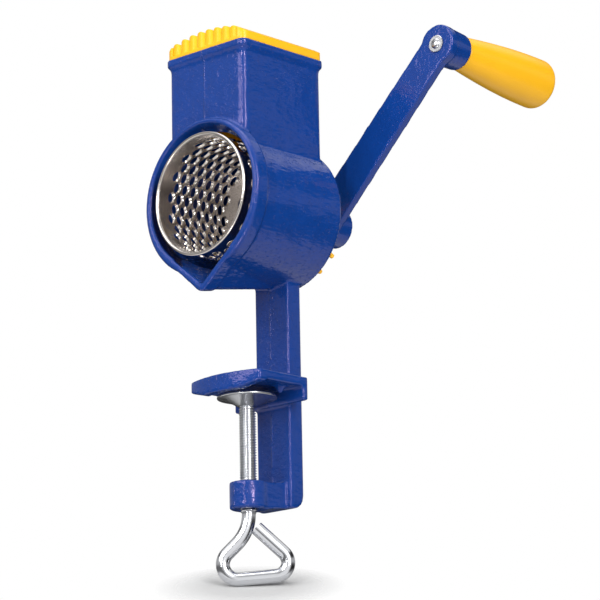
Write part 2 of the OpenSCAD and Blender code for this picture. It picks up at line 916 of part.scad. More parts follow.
module handle_axle() {
    head_z = grip_y + grip_len - recess_h + 0.15;
    color(steel)
        handle_frame() {
            translate([0, 0, 0.8])
                cylinder(r = axle_r, h = head_z - 0.8 + 0.2, $fn = small);
            translate([0, 0, -rivet_washer_t - 0.9])
                cylinder(r = rivet_r, h = rivet_washer_t + 1.9, $fn = small);
            translate([0, 0, head_z])
                cylinder(r = axle_head_r, h = 2.2, $fn = mid);
        }
}

module axle_washer() {
    color(steel)
        handle_frame()
            translate([0, 0, -rivet_washer_t])
                difference() {
                    cylinder(r = rivet_washer_r, h = rivet_washer_t, $fn = mid);
                    translate([0, 0, -over])
                        cylinder(r = rivet_r, h = rivet_washer_t + 2 * over, $fn = small);
                }
}

module grip_washer() {
    color(steel)
        handle_frame()
            translate([0, 0, eye_len])
                difference() {
                    cylinder(r = grip_washer_r, h = grip_washer_t, $fn = mid);
                    translate([0, 0, -over])
                        cylinder(r = axle_r, h = grip_washer_t + 2 * over, $fn = mid);
                }
}

module grip() {
    r3 = grip_edge * (1 - sqrt(0.5));
    color(yellow)
        handle_frame()
            translate([0, 0, grip_y])
                difference() {
                    rotate_extrude($fn = fine)
                        polygon([[0, 0], [grip_r1 - 0.6, 0], [grip_r1, 0.6],
                            [grip_r1 + (grip_r2 - grip_r1) * 0.5, grip_len * 0.44],
                            [grip_r2 - 0.25, grip_len * 0.78], [grip_r2, grip_len - grip_edge],
                            [grip_r2 - r3, grip_len - r3], [grip_r2 - grip_edge, grip_len],
                            [0, grip_len]]);
                    translate([0, 0, -over])
                        cylinder(r = axle_r + grip_gap, h = grip_len + 2 * over, $fn = mid);
                    translate([0, 0, grip_len - recess_h])
                        cylinder(r = axle_head_r + 0.5, h = recess_h + over, $fn = mid);
                }
}

// Loop handle: runs and bends of the wire, from the screw down and round to its cut end.
// A row with radius 0 is a straight run of the given length, another a bend by the given angle.
loop_steps = [[neck_bend, -neck_turn], [0, side_run], [left_bend, left_turn], [0, base_run],
    [right_bend, right_turn], [0, end_run]];

// A bend laps over the straight runs at its ends and is a hair thicker, so the two join cleanly.
module wire_bend(r, turn) {
    lap = asin(wire_lap / r);
    rotate([90, 0, 180])
        rotate([0, 0, -lap])
            rotate_extrude(angle = turn + 2 * lap, $fn = fine)
                translate([r, 0])
                    circle(r = wire_r + wire_swell, $fn = small);
}

// Draws the wire from step i on: local z runs along it and x is the side it bends to.
module wire(i) {
    if (i < len(loop_steps)) {
        r = loop_steps[i][0];
        amount = loop_steps[i][1];
        if (r == 0) {
            cylinder(r = wire_r, h = amount, $fn = small);
            translate([0, 0, amount])
                wire(i + 1);
        } else {
            side = sign(amount);
            translate([side * r, 0, 0])
                mirror([side < 0 ? 1 : 0, 0, 0])
                    wire_bend(r, abs(amount));
            translate([side * r * (1 - cos(amount)), 0, r * sin(abs(amount))])
                rotate([0, amount, 0])
                    wire(i + 1);
        }
    }
}

module clamp_screw() {
    top = -dish_h;
    loop_top = -boss_top - boss_h - loop_drop;
    color(zinc)
        translate([0, screw_y, 0])
            rotate([0, 0, loop_angle]) {
                translate([0, 0, loop_top])
                    cylinder(r = thread_r, h = top - loop_top - neck_gap, $fn = mid);
                translate([0, 0, top - 0.5])
                    cylinder(r = neck_r, h = disc_t + 0.5 + neck_gap + 0.2, $fn = small);
                translate([0, 0, top + disc_t + neck_gap])
                    cylinder(r = peen_r, h = peen_h, $fn = small);
                translate([0, 0, loop_top + 0.5])
                    rotate([180, 0, 0])
                        mirror([0, 1, 0])
                            wire(0);
            }
}

module pressure_disc() {
    color(zinc)
        translate([0, screw_y, -dish_h])
            difference() {
                rotate_extrude($fn = fine)
                    polygon([[0, 0], [dish_r, 0], [disc_r - disc_rim, dish_h - disc_t],
                        [disc_r - 0.3, dish_h - disc_t], [disc_r, dish_h - disc_t + 0.3],
                        [disc_r, dish_h - 0.3], [disc_r - 0.3, dish_h],
                        [disc_r - disc_rim - 0.4, dish_h], [dish_r - 0.4, disc_t], [0, disc_t]]);
                translate([0, 0, -over])
                    cylinder(r = neck_r + neck_gap, h = disc_t + 2 * over, $fn = mid);
            }
}

body_casting();
bearing_sleeve();
pusher();
drum_shell();
drum_end();
drum_hub();
hub_rivets();
spindle();
drum_screw();
spring_washer();
drum_washer();
thrust_washer();
crank_arm();
crank_pin();
handle_axle();
axle_washer();
grip_washer();
grip();
clamp_screw();
pressure_disc();
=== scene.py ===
# Looks of a clamp-on nut grinder, laid out as a Blender add-on and run as a script.
import math

import bmesh
import bpy
from bpy.props import FloatProperty, FloatVectorProperty, IntProperty, PointerProperty
from bpy.types import Operator, Panel, PropertyGroup
from mathutils import Matrix, Vector, noise


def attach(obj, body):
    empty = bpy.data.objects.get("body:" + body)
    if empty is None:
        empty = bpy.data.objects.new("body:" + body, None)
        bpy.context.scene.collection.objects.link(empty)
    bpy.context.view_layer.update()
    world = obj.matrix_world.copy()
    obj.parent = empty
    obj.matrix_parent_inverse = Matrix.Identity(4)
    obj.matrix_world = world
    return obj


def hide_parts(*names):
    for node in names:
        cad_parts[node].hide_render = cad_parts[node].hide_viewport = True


bl_info = {
    "name": "Nut grinder",
    "version": (1, 0, 0),
    "blender": (4, 5, 0),
    "location": "View3D > Sidebar > Grinder",
    "description": "Builds the pieces and finishes of a clamp-on nut grinder",
    "category": "Object",
}

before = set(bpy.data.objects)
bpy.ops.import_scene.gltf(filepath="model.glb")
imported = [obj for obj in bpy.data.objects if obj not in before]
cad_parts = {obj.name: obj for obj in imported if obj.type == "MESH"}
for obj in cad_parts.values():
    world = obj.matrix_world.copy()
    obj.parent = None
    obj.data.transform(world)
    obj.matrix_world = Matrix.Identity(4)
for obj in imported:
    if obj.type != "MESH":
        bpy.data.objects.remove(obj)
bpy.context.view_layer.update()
MM = 0.001
PHOTO_PIXELS = 600
UNIT_CIRCLE = 2 * math.pi


def length(name, description, millimetres):
    """A length property whose default is given in millimetres."""
    return FloatProperty(name=name, description=description, default=millimetres * MM, unit="LENGTH",
                         subtype="DISTANCE", precision=5)


def angle(name, description, degrees):
    """An angle property whose default is given in degrees."""
    return FloatProperty(name=name, description=description, default=math.radians(degrees),
                         unit="ROTATION", subtype="ANGLE")


def colour(name, description, rgb):
    """A colour property, in linear values."""
    return FloatVectorProperty(name=name, description=description, default=rgb, subtype="COLOR",
                               size=3, min=0, max=1)


def share(name, description, value):
    """A plain factor between 0 and 1."""
    return FloatProperty(name=name, description=description, default=value, min=0, max=1,
                         subtype="FACTOR")


class FinishColours(PropertyGroup):
    """Colours of the finishes."""

    blue_coat: colour("Blue coat", "Powder coat of the castings", (0.0045, 0.043, 0.235))
    yellow_plastic: colour("Yellow plastic", "Moulded pusher, grip and bearing", (0.96, 0.49, 0.01))
    stainless: colour("Stainless", "Drum and small steel pieces", (0.6, 0.56, 0.53))
    zinc: colour("Zinc plate", "Clamp screw, disc and hub", (0.72, 0.73, 0.76))
    parting_x: length("Parting line", "Place of the casting's parting line across", -1)
    coat_gloss: share("Coat roughness", "Roughness of the powder coat", 0.1)


class HousingSizes(PropertyGroup):
    """Round housing of the casting, with its spout."""

    axis_height: length("Axis height", "Drum axis over the seat of the jaw", 94)
    mouth_y: length("Mouth", "Plane of the open mouth", -14)
    depth: length("Depth", "Length of the housing along the drum", 61)
    radius: length("Radius", "Outside radius of the housing", 35.2)
    drop: length("Drop", "How far the outside lies below the drum axis", 3)
    bore: length("Bore", "Inside radius of the housing", 32.3)
    bore_drop: length("Bore drop", "How far the bore lies below the drum axis", 1.5)
    band_radius: length("Band radius", "Outside radius of the band at the mouth", 37.8)
    band_drop: length("Band drop", "How far the band lies below the drum axis", 1.1)
    band_width: length("Band width", "Width of the band at the mouth", 8)
    band_slope: length("Band slope", "Length over which the band falls to the housing", 2.5)
    band_fall: length("Band fall", "How much smaller the band is after its slope", 4.6)
    mouth_radius: length("Mouth radius", "Inside radius at the mouth", 34.6)
    flare: length("Flare", "Depth over which the mouth narrows", 7)
    flare_in: length("Flare in", "How much the mouth narrows", 3)
    rear_wall: length("Rear wall", "Thickness of the wall behind the drum", 3.5)
    bearing_bore: length("Bearing bore", "Radius of the hole for the bearing sleeve", 11)
    edge: length("Edge", "Rounding of the cast edges", 1.2)
    keel_depth: length("Keel depth", "Tip of the spout under the axis, at the mouth", 47.6)
    keel_rise: length("Keel rise", "Rise of the spout's tip line over the housing", 10.3)
    keel_step: length("Keel step", "Step of the spout behind the band", 0.7)
    keel_radius: length("Keel radius", "Rounding of the spout's tip", 4)
    keel_wall: length("Keel wall", "Wall of the spout", 3.6)
    keel_slope: angle("Keel slope", "Slope of the spout's flanks", 40)
    keel_shoulder: length("Keel shoulder", "Depth under the axis where the flanks begin", 29.5)
    trough_slope: angle("Trough slope", "Slope of the trough's flanks", 38)
    trough_shoulder: length("Trough shoulder", "The same for the trough inside", 29)
    trough_length: length("Trough length", "Length of the trough inside", 52)


class HopperSizes(PropertyGroup):
    """Square hopper on top of the housing."""

    width: length("Width", "Outside width across the drum", 51)
    depth: length("Depth", "Outside depth along the drum", 54.2)
    set_back: length("Set back", "Front face behind the mouth", 4.7)
    wall: length("Wall", "Thickness of the walls", 3)
    corner: length("Corner", "Outside corner radius", 3.5)
    height: length("Height", "Rim over the drum axis", 72.5)
    rim_out: length("Rim overhang", "How far the rim stands out", 1.4)
    rim_height: length("Rim height", "Height of the rim with its cove", 6.5)


class ClampSizes(PropertyGroup):
    """Post, jaw and lower arm of the table clamp."""

    post_width: length("Post width", "Width of the post", 22)
    post_depth: length("Post depth", "Depth of the post", 9)
    post_y: length("Post place", "Front face of the post", 33.5)
    foot_radius: length("Foot radius", "Rounding of the post's lower back corner", 6.5)
    jaw_width: length("Jaw width", "Width of the upper jaw", 46)
    jaw_thickness: length("Jaw thickness", "Thickness of the upper jaw", 4.4)
    jaw_z: length("Jaw height", "Underside of the jaw over its seat", 3.8)
    jaw_side: length("Jaw sides", "Where the straight sides of the jaw begin", 1.5)
    jaw_bow: length("Jaw bow", "Bow of the jaw's front edge", 5)
    lip_depth: length("Lip depth", "Depth of the lip under the front edge", 5)
    seat_width: length("Seat width", "Flat width of the lip", 24)
    lip_thin: length("Lip rise", "Rise of the lip at the jaw's sides", 3.2)
    root_height: length("Root height", "Height of the jaw's root at the post", 6.8)
    root_fillet: length("Root fillet", "Fillet in front of the root", 3)
    pip_x: length("Pip across", "Place of the two grip pips across", 14)
    pip_y: length("Pip along", "Place of the two grip pips along", 24)
    pip_radius: length("Pip radius", "Root radius of a grip pip", 3)
    arm_top: length("Arm top", "Top of the lower arm under the seat", 41.2)
    arm_height: length("Arm height", "Height of the lower arm", 12.4)
    arm_width: length("Arm width", "Width of the lower arm", 16)
    arm_slope: angle("Arm slope", "Slope of the lower arm", 5.8)
    boss_height: length("Boss height", "Height of the screw boss", 13)
    boss_radius: length("Boss radius", "Radius of the screw boss", 9)
    screw_y: length("Screw place", "Axis of the clamp screw", 16.1)
    thread_radius: length("Thread radius", "Radius of the clamp screw", 4)


class PusherSizes(PropertyGroup):
    """Lid with finger ribs and the plunger under it."""

    overhang: length("Overhang", "Lid beyond the hopper wall", 0.8)
    base: length("Base", "Thickness of the lid at its sides", 3.8)
    foot: length("Foot", "Height of the lid's plain edge under the ribs' ends", 1.5)
    corner: length("Corner", "Rounding of the lid's corners", 4)
    ribs: IntProperty(name="Ribs", description="Number of finger ribs", default=8)
    pitch: length("Pitch", "From rib to rib", 5.5)
    rib_radius: length("Rib radius", "Radius of a rib's round top", 4)
    top: length("Top", "Middle ribs over the hopper's rim", 9.5)
    arch: length("Arch", "Radius of the arch over the ribs", 84)
    gap: length("Gap", "Clearance of the plunger in the hopper", 1.2)
    wall: length("Wall", "Wall of the plunger", 2)
    plunger: length("Plunger", "Length of the plunger at its corners", 38)
    hollow: length("Hollow", "Radius of the arc under the plunger", 40)
    clear: length("Clear", "From the arc down to the drum", 14)


class DrumSizes(PropertyGroup):
    """Drum of punched sheet."""

    radius: length("Radius", "Outside radius of the sheet", 28.7)
    sheet: length("Sheet", "Thickness of the sheet", 0.6)
    back_room: length("Back room", "From the sheet to the housing's rear wall", 7)
    bead: length("Bead", "Radius of the rolled bead", 0.85)
    proud: length("Proud", "How far the bead stands out of the mouth", 0.6)
    rows: IntProperty(name="Rows", description="Rows of holes round the drum", default=34)
    holes: IntProperty(name="Holes", description="Holes in a row", default=7)
    first: length("First hole", "First hole behind the bead", 8)
    last: length("Last hole", "Last hole before the end of the sheet", 6.1)
    oval_around: length("Oval around", "Half length of an oval round the drum", 2.95)
    oval_along: length("Oval along", "Half width of an oval along the drum", 2.15)
    slant: angle("Slant", "Turn of an oval towards the rear", 15)
    scoop: angle("Scoop", "Turn of a lip's ramp from its oval", 34)
    opening: share("Opening", "Size of the opening in its oval", 0.8)
    set_over: length("Set over", "How far the opening lies from the middle of its oval", 0.33)
    lip: length("Lip", "How far a lip is pushed out", 1)


class CrankSizes(PropertyGroup):
    """Crank arm with its hub and eye."""

    face_y: length("Face", "Front of the arm at the drum axis", 69.46)
    angle: angle("Angle", "Turn of the arm from straight up", 44.1)
    lean: angle("Lean", "Outward lean of the arm", 2.8)
    reach: length("Reach", "From the drum axis to the handle axis", 106.8)
    thickness: length("Thickness", "Thickness of the arm", 4.4)
    root_radius: length("Root radius", "Radius of the arm's end at the hub", 9.4)
    tip_width: length("Tip width", "Width of the arm next to the eye", 17.2)
    eye_radius: length("Eye radius", "Radius of the eye", 9.9)
    eye_end: length("Eye end", "Radius of the eye's boss at its end", 9.1)
    eye_length: length("Eye length", "Length of the eye's boss", 16)
    hub_radius: length("Hub radius", "Radius of the hub", 10.1)
    hub_length: length("Hub length", "Length of the hub", 13)
    spindle: length("Spindle", "Radius of the spindle in the hub", 5)
    pin: length("Pin", "Radius of the cross pin", 1.5)
    pin_turn: angle("Pin turn", "Turn of the cross pin from straight up", 19)


class HandleSizes(PropertyGroup):
    """Grip, axle and washers on the crank's eye."""

    grip_start: length("Grip start", "Near end of the grip from the eye's face", 16.95)
    grip_length: length("Grip length", "Length of the grip", 63.5)
    grip_near: length("Near radius", "Radius of the grip next to the crank", 8.3)
    grip_far: length("Far radius", "Radius of the grip at its far end", 12.6)
    grip_edge: length("Grip edge", "Rounding of the far edge", 3)
    recess: length("Recess", "Depth of the recess in the far end", 4)
    axle: length("Axle", "Radius of the axle", 3)
    axle_head: length("Axle head", "Radius of the axle's head", 5)
    play: length("Play", "Running clearance of the grip", 0.08)
    rivet: length("Rivet", "Radius of the riveted end", 2.6)
    washer: length("Washer", "Radius of the washer under the rivet", 4.25)
    washer_thickness: length("Washer thickness", "Thickness of that washer", 0.8)


class ScrewSizes(PropertyGroup):
    """Clamp screw with its loop of wire, and the disc on its end."""

    pitch: length("Pitch", "Pitch of the thread", 1.25)
    root: length("Root", "Radius at the root of the thread", 3.3)
    top: length("Top", "Upper end of the thread under the seat", 4.78)
    bottom: length("Bottom", "Start of the wire under the seat", 56.2)
    wire: length("Wire", "Radius of the wire", 3.3)
    neck_bend: length("Neck bend", "Radius of the bend under the screw", 20)
    neck_turn: angle("Neck turn", "Angle of the bend under the screw", 45)
    side_run: length("Side run", "Straight run beside the loop", 6.4)
    left_bend: length("Left bend", "Radius of the first lower bend", 7.1)
    left_turn: angle("Left turn", "Angle of the first lower bend", 139.4)
    base_run: length("Base run", "Straight run at the bottom", 17.1)
    right_bend: length("Right bend", "Radius of the second lower bend", 6.3)
    right_turn: angle("Right turn", "Angle of the second lower bend", 132.1)
    end_run: length("End run", "Straight run to the cut end", 17.4)
    loop_angle: angle("Loop angle", "Angle the loop stands at", 43.6)
    disc_radius: length("Disc radius", "Radius of the pressure disc", 14.4)
    disc_sheet: length("Disc sheet", "Thickness of the disc", 1.2)
    dish: length("Dish", "Depth of the dish", 4.7)
    dish_floor: length("Dish floor", "Radius of the dish's flat middle", 4.9)
    disc_rim: length("Disc rim", "Width of the disc's flat rim", 3.2)
    neck: length("Neck", "Radius of the hole for the screw's neck", 2.68)


class StageSetup(PropertyGroup):
    """Camera, lamps and floor."""

    camera_azimuth: angle("Azimuth", "Direction of the camera round the part", 43.316)
    camera_elevation: angle("Elevation", "Height of the camera, negative below the horizon", -13.585)
    camera_roll: angle("Roll", "Turn of the camera about its own axis", -1.076)
    camera_distance: length("Distance", "From the camera to the point it looks at", 1407.17)
    camera_focal: FloatProperty(name="Focal length", description="In pixels of the photograph",
                                default=3000.0, subtype="PIXEL")
    aim_x: length("Aim X", "Point the camera looks at", 33.82)
    aim_y: length("Aim Y", "Point the camera looks at", 17.89)
    aim_z: length("Aim Z", "Point the camera looks at", 41.22)
    lamp_level: FloatProperty(name="Lamp level", description="Factor on every lamp", default=1.0)
    world_level: share("World level", "Even light from all round", 0.4)
    floor_glow: share("Floor glow", "Light added to the pale floor", 0.02)
    floor_radius: length("Floor radius", "Patch of floor under the loop", 75)
    floor_x: length("Floor X", "Middle of the patch", 0)
    floor_y: length("Floor Y", "Middle of the patch", 16)
    floor_z: length("Floor Z", "Middle of the patch", -90.3)
    lean_x: share("Lean X", "Lean of the floor to the camera", 0.263)
    lean_y: FloatProperty(name="Lean Y", description="Lean of the floor to the camera", default=-0.278)


class Nodes:
    """Builds the node tree of a material or a world, a socket at a time."""

    def __init__(self, owner, output="OutputMaterial"):
        self.owner = owner
        owner.use_nodes = True
        self.tree = owner.node_tree
        self.tree.nodes.clear()
        self.output = self.add(output)

    def add(self, kind, **values):
        node = self.tree.nodes.new("ShaderNode" + kind)
        for key, value in values.items():
            if hasattr(node, key):
                setattr(node, key, value)
            else:
                node.inputs[key.replace("_", " ")].default_value = value
        return node

    def link(self, source, target):
        self.tree.links.new(source, target)

    def noise(self, vector, scale, detail=2.0, roughness=0.5):
        node = self.add("TexNoise", Scale=scale, Detail=detail, Roughness=roughness)
        self.link(vector, node.inputs["Vector"])
        return node.outputs["Fac"]

    def bump(self, height, depth, base=None):
        """Bump whose height socket is 0 to 1 and whose depth is a real length."""
        node = self.add("Bump", Strength=1.0, Distance=depth)
        self.link(height, node.inputs["Height"])
        if base is not None:
            self.link(base, node.inputs["Normal"])
        return node.outputs["Normal"]

    def ramp(self, source, low, high, from_value=0.0, to_value=1.0):
        """Maps the range low to high onto from_value to to_value, clamped."""
        node = self.add("MapRange", clamp=True)
        node.inputs["From Min"].default_value = low
        node.inputs["From Max"].default_value = high
        node.inputs["To Min"].default_value = from_value
        node.inputs["To Max"].default_value = to_value
        self.link(source, node.inputs["Value"])
        return node.outputs["Result"]

    def math(self, operation, first, second):
        """One sum of two sockets, or of a socket and a number."""
        node = self.add("Math", operation=operation)
        for place, value in enumerate((first, second)):
            if isinstance(value, (int, float)):
                node.inputs[place].default_value = value
            else:
                self.link(value, node.inputs[place])
        return node.outputs[0]

    def blend(self, factor, first, second):
        """Mixes two shaders by a socket."""
        node = self.add("MixShader")
        self.link(factor, node.inputs[0])
        self.link(first, node.inputs[1])
        self.link(second, node.inputs[2])
        return node.outputs[0]

    def levels(self, source, pairs):
        """Grey levels along a socket that runs from -1 to 1."""
        node = self.add("ValToRGB")
        elements = node.color_ramp.elements
        while len(elements) < len(pairs):
            elements.new(0.5)
        for element, (place, level) in zip(elements, pairs):
            element.position = (place + 1) / 2
            element.color = (level, level, level, 1)
        self.link(self.ramp(source, -1, 1), node.inputs[0])
        return node.outputs[0]

    def mix(self, factor, first, second):
        """Mixes two colours by a socket."""
        node = self.add("Mix", data_type="RGBA")
        self.link(factor, node.inputs["Factor"])
        node.inputs[6].default_value = (*first, 1)
        node.inputs[7].default_value = (*second, 1)
        return node.outputs[2]


def shaded(rgb, factor):
    """A colour made lighter or darker by a factor."""
    return tuple(min(1, c * factor) for c in rgb)


# Name and slot of each finish
FINISHES = {"blue_coat": ("powder coat", "blue_coat"),
            "coated_crank": ("crank coat", "blue_coat"),
            "yellow_plastic": ("moulded yellow", "yellow_plastic"),
            "stainless": ("rolled stainless", "stainless"), "zinc": ("bright zinc", "zinc"),
            "thread": ("cut thread", "zinc"), "pressed": ("satin zinc", "zinc")}


def inside_dark(n, place, tint):
    """Darkens the coat inside the bore, where no light gets past the drum."""
    h = bpy.context.scene.grinder_housing
    parts = n.add("SeparateXYZ")
    n.link(place, parts.inputs[0])
    height = n.math("SUBTRACT", parts.outputs["Z"], h.axis_height - h.bore_drop)
    reach = n.math("SQRT", n.math("ADD", n.math("POWER", parts.outputs["X"], 2),
                                  n.math("POWER", height, 2)), 0)
    inward = n.math("MINIMUM", n.math("DIVIDE", n.math("SUBTRACT", parts.outputs["Y"], h.mouth_y),
                                      h.flare), 1)
    wall = n.math("ADD", reach, n.math("MULTIPLY", inward, h.flare_in))
    near = n.ramp(wall, h.mouth_radius + 0.3 * MM, h.mouth_radius + 0.9 * MM, 1, 0)
    rear = h.mouth_y + h.depth - h.rear_wall / 2
    deep = n.math("MULTIPLY", n.ramp(parts.outputs["Y"], h.mouth_y + 0.4 * MM, h.mouth_y + 1.6 * MM),
                  n.math("LESS_THAN", parts.outputs["Y"], rear))
    dark = n.add("Mix", data_type="RGBA")
    n.link(n.math("MULTIPLY", near, deep), dark.inputs["Factor"])
    n.link(tint, dark.inputs[6])
    dark.inputs[7].default_value = (0.0035, 0.006, 0.034, 1)
    return dark.outputs[2]


def blue_coat(name, parted):
    """Glossy powder coat over a rough casting, with its parting line if it has one."""
    cols = bpy.context.scene.grinder_colours
    n = Nodes(bpy.data.materials.new(name))
    place = n.add("TexCoord").outputs["Object"]
    shader = n.add("BsdfPrincipled")
    shader.inputs["Roughness"].default_value = cols.coat_gloss
    shader.inputs["Specular IOR Level"].default_value = 0.38
    shader.inputs["Specular Tint"].default_value = (1, 0.72, 1, 1)
    tint = n.mix(n.noise(place, 120), shaded(cols.blue_coat, 0.88), shaded(cols.blue_coat, 1.1))
    if parted:
        tint = inside_dark(n, place, tint)
    n.link(tint, shader.inputs["Base Color"])
    sand = n.bump(n.noise(place, 110, 2.0), 0.0006 if parted else 0.0003)
    slant = n.add("Mapping")
    n.link(place, slant.inputs["Vector"])
    slant.inputs["Rotation"].default_value = (math.radians(-35), 0, math.radians(20))
    slant.inputs["Scale"].default_value = (1, 0.3, 1)
    streaks = n.bump(n.noise(slant.outputs[0], 620, 2.0), 0.00022 if parted else 0.0001, sand)
    nodules = n.bump(n.ramp(n.noise(place, 700, 3.0, 0.6), 0.6, 0.72), 0.00012 if parted else 0.00004, streaks)
    grain = n.bump(n.noise(place, 1500, 1.0), 0.00002, nodules)
    if parted:
        across = n.add("SeparateXYZ")
        n.link(place, across.inputs[0])
        off = n.math("ABSOLUTE", n.math("SUBTRACT", across.outputs["X"], cols.parting_x), 0)
        ridge = n.ramp(off, 0.1 * MM, 0.5 * MM, 1, 0)
        broken = n.ramp(n.noise(place, 260, 3.0, 0.6), 0.42, 0.6)
        grain = n.bump(n.math("MULTIPLY", ridge, broken), 0.00035, grain)
    n.link(grain, shader.inputs["Normal"])
    n.link(shader.outputs[0], n.output.inputs[0])
    return n.owner


def yellow_plastic(name):
    """Moulded glossy plastic."""
    cols = bpy.context.scene.grinder_colours
    n = Nodes(bpy.data.materials.new(name))
    place = n.add("TexCoord").outputs["Object"]
    shader = n.add("BsdfPrincipled")
    shader.inputs["Roughness"].default_value = 0.3
    shader.inputs["Specular IOR Level"].default_value = 0.35
    tint = n.mix(n.noise(place, 60), shaded(cols.yellow_plastic, 0.94),
                 shaded(cols.yellow_plastic, 1.04))
    n.link(tint, shader.inputs["Base Color"])
    flow = n.bump(n.noise(place, 90, 2.0), 0.0001)
    grain = n.bump(n.noise(place, 1800, 1.0), 0.00001, flow)
    n.link(grain, shader.inputs["Normal"])
    n.link(shader.outputs[0], n.output.inputs[0])
    return n.owner


def bare_metal(name, rgb, roughness, depth, painted_valley_shade=False):
    """Bare or plated metal with fine marks, and painted shade in the valleys if it is a thread."""
    n = Nodes(bpy.data.materials.new(name))
    place = n.add("TexCoord").outputs["Object"]
    shader = n.add("BsdfPrincipled", Metallic=1.0)
    tint = n.mix(n.noise(place, 60, 3.0), shaded(rgb, 0.92), shaded(rgb, 1.04))
    if painted_valley_shade:
        clamp = bpy.context.scene.grinder_clamp
        flat = n.add("VectorMath", operation="MULTIPLY")
        n.link(place, flat.inputs[0])
        flat.inputs[1].default_value = (1, 1, 0)
        reach = n.add("VectorMath", operation="DISTANCE")
        n.link(flat.outputs[0], reach.inputs[0])
        reach.inputs[1].default_value = (0, clamp.screw_y, 0)
        root = bpy.context.scene.grinder_screw.root
        # Painted shade: the zinc is darker towards the thread's root radius, in its valleys
        part = n.ramp(reach.outputs["Value"], root, clamp.thread_radius - 0.1 * MM)
        tint = n.mix(part, shaded(rgb, 0.6), rgb)
    n.link(tint, shader.inputs["Base Color"])
    n.link(n.ramp(n.noise(place, 500, 3.0), 0.3, 0.7, roughness * 0.92, roughness * 1.1),
           shader.inputs["Roughness"])
    n.link(n.bump(n.noise(place, 700, 2.0), depth), shader.inputs["Normal"])
    n.link(shader.outputs[0], n.output.inputs[0])
    return n.owner


def material(finish):
    """The named finish, made once."""
    name = FINISHES[finish][0]
    if name in bpy.data.materials:
        return bpy.data.materials[name]
    cols = bpy.context.scene.grinder_colours
    if finish == "blue_coat":
        return blue_coat(name, True)
    if finish == "coated_crank":
        return blue_coat(name, False)
    if finish == "yellow_plastic":
        return yellow_plastic(name)
    if finish == "stainless":
        return bare_metal(name, cols.stainless, 0.2, 0.0000008)
    if finish == "thread":
        return bare_metal(name, cols.zinc, 0.25, 0.000006, painted_valley_shade=True)
    if finish == "pressed":
        return bare_metal(name, shaded(cols.zinc, 0.68), 0.24, 0.000002)
    return bare_metal(name, cols.zinc, 0.16, 0.000006)


def object_from(name, bm):
    """Turns a bmesh into a linked object at the origin."""
    mesh = bpy.data.meshes.new(name)
    bm.to_mesh(mesh)
    bm.free()
    piece = bpy.data.objects.new(name, mesh)
    bpy.context.scene.collection.objects.link(piece)
    return piece


def along_y(y):
    """Frame on the drum axis: z runs back along +Y and y runs down."""
    height = bpy.context.scene.grinder_housing.axis_height
    return Matrix.Translation((0, y, height)) @ Matrix.Rotation(-math.pi / 2, 4, "X")


def lathe(name, profile, frame_of, steps=96):
    """Spins radius and height pairs about the z axis of a frame."""
    bm = bmesh.new()
    verts = [bm.verts.new((radius, 0, height)) for radius, height in profile]
    edges = [bm.edges.new(pair) for pair in zip(verts, verts[1:])]
    bmesh.ops.spin(bm, geom=verts + edges, cent=(0, 0, 0), axis=(0, 0, 1), angle=UNIT_CIRCLE,
                   steps=steps, use_merge=True, use_duplicate=False)
    bmesh.ops.remove_doubles(bm, verts=bm.verts, dist=1e-7)
    bm.transform(frame_of)
    bmesh.ops.recalc_face_normals(bm, faces=bm.faces)
    return object_from(name, bm)


def prism(name, outline, low, high, frame_of=Matrix()):
    """Extrudes an outline of x and y pairs from low to high along the z axis of a frame."""
    bm = bmesh.new()
    face = bm.faces.new([bm.verts.new((x, y, low)) for x, y in outline])
    made = bmesh.ops.extrude_face_region(bm, geom=[face])
    top = [item for item in made["geom"] if isinstance(item, bmesh.types.BMVert)]
    bmesh.ops.translate(bm, verts=top, vec=(0, 0, high - low))
    bm.transform(frame_of)
    bmesh.ops.recalc_face_normals(bm, faces=bm.faces)
    return object_from(name, bm)


def block(name, low, high):
    """A box between two corners, used to trim other shapes."""
    bm = bmesh.new()
    bmesh.ops.create_cube(bm, size=1)
    middle = [(a + b) / 2 for a, b in zip(low, high)]
    sides = [b - a for a, b in zip(low, high)]
    bm.transform(Matrix.Translation(middle) @ Matrix.Diagonal((*sides, 1)))
    return object_from(name, bm)


def arc(centre, radius, start, end, steps):
    """Points of an arc, angles in degrees."""
    turns = [math.radians(start + (end - start) * i / steps) for i in range(steps + 1)]
    return [(centre[0] + radius * math.cos(t), centre[1] + radius * math.sin(t)) for t in turns]


def rounded_square(half_x, half_y, radius, centre_y=0, steps=6):
    """Outline of a square with round corners."""
    outline = []
    for quarter, (sx, sy) in enumerate(((1, 1), (-1, 1), (-1, -1), (1, -1))):
        corner = (sx * (half_x - radius), centre_y + sy * (half_y - radius))
        outline += arc(corner, radius, 90 * quarter, 90 * quarter + 90, steps)
    return outline


def settle(piece):
    """Makes a piece's modifiers part of its mesh."""
    graph = bpy.context.evaluated_depsgraph_get()
    mesh = bpy.data.meshes.new_from_object(piece.evaluated_get(graph))
    old = piece.data
    piece.modifiers.clear()
    piece.data = mesh
    bpy.data.meshes.remove(old)
    return piece


def combined(base, operation, *others):
    """Joins, cuts or trims a solid with others, which are used up."""
    for other in others:
        step = base.modifiers.new("combine", "BOOLEAN")
        step.operation = operation
        step.solver = "MANIFOLD"
        step.object = other
    settle(base)
    for other in others:
        bpy.data.objects.remove(other)
    return base


def cast(piece, grid, passes, most_triangles):
    """Rounds a solid's edges as a casting's are, on a fine grid, and thins its mesh."""
    step = piece.modifiers.new("grid", "REMESH")
    step.mode = "VOXEL"
    step.voxel_size = grid
    step.use_smooth_shade = True
    round_off = piece.modifiers.new("round", "SMOOTH")
    round_off.factor = 0.5
    round_off.iterations = passes
    settle(piece)
    triangles = 2 * len(piece.data.polygons)
    if triangles > most_triangles:
        thin = piece.modifiers.new("thin", "DECIMATE")
        thin.ratio = most_triangles / triangles
        settle(piece)
    piece.data.shade_smooth()
    return piece


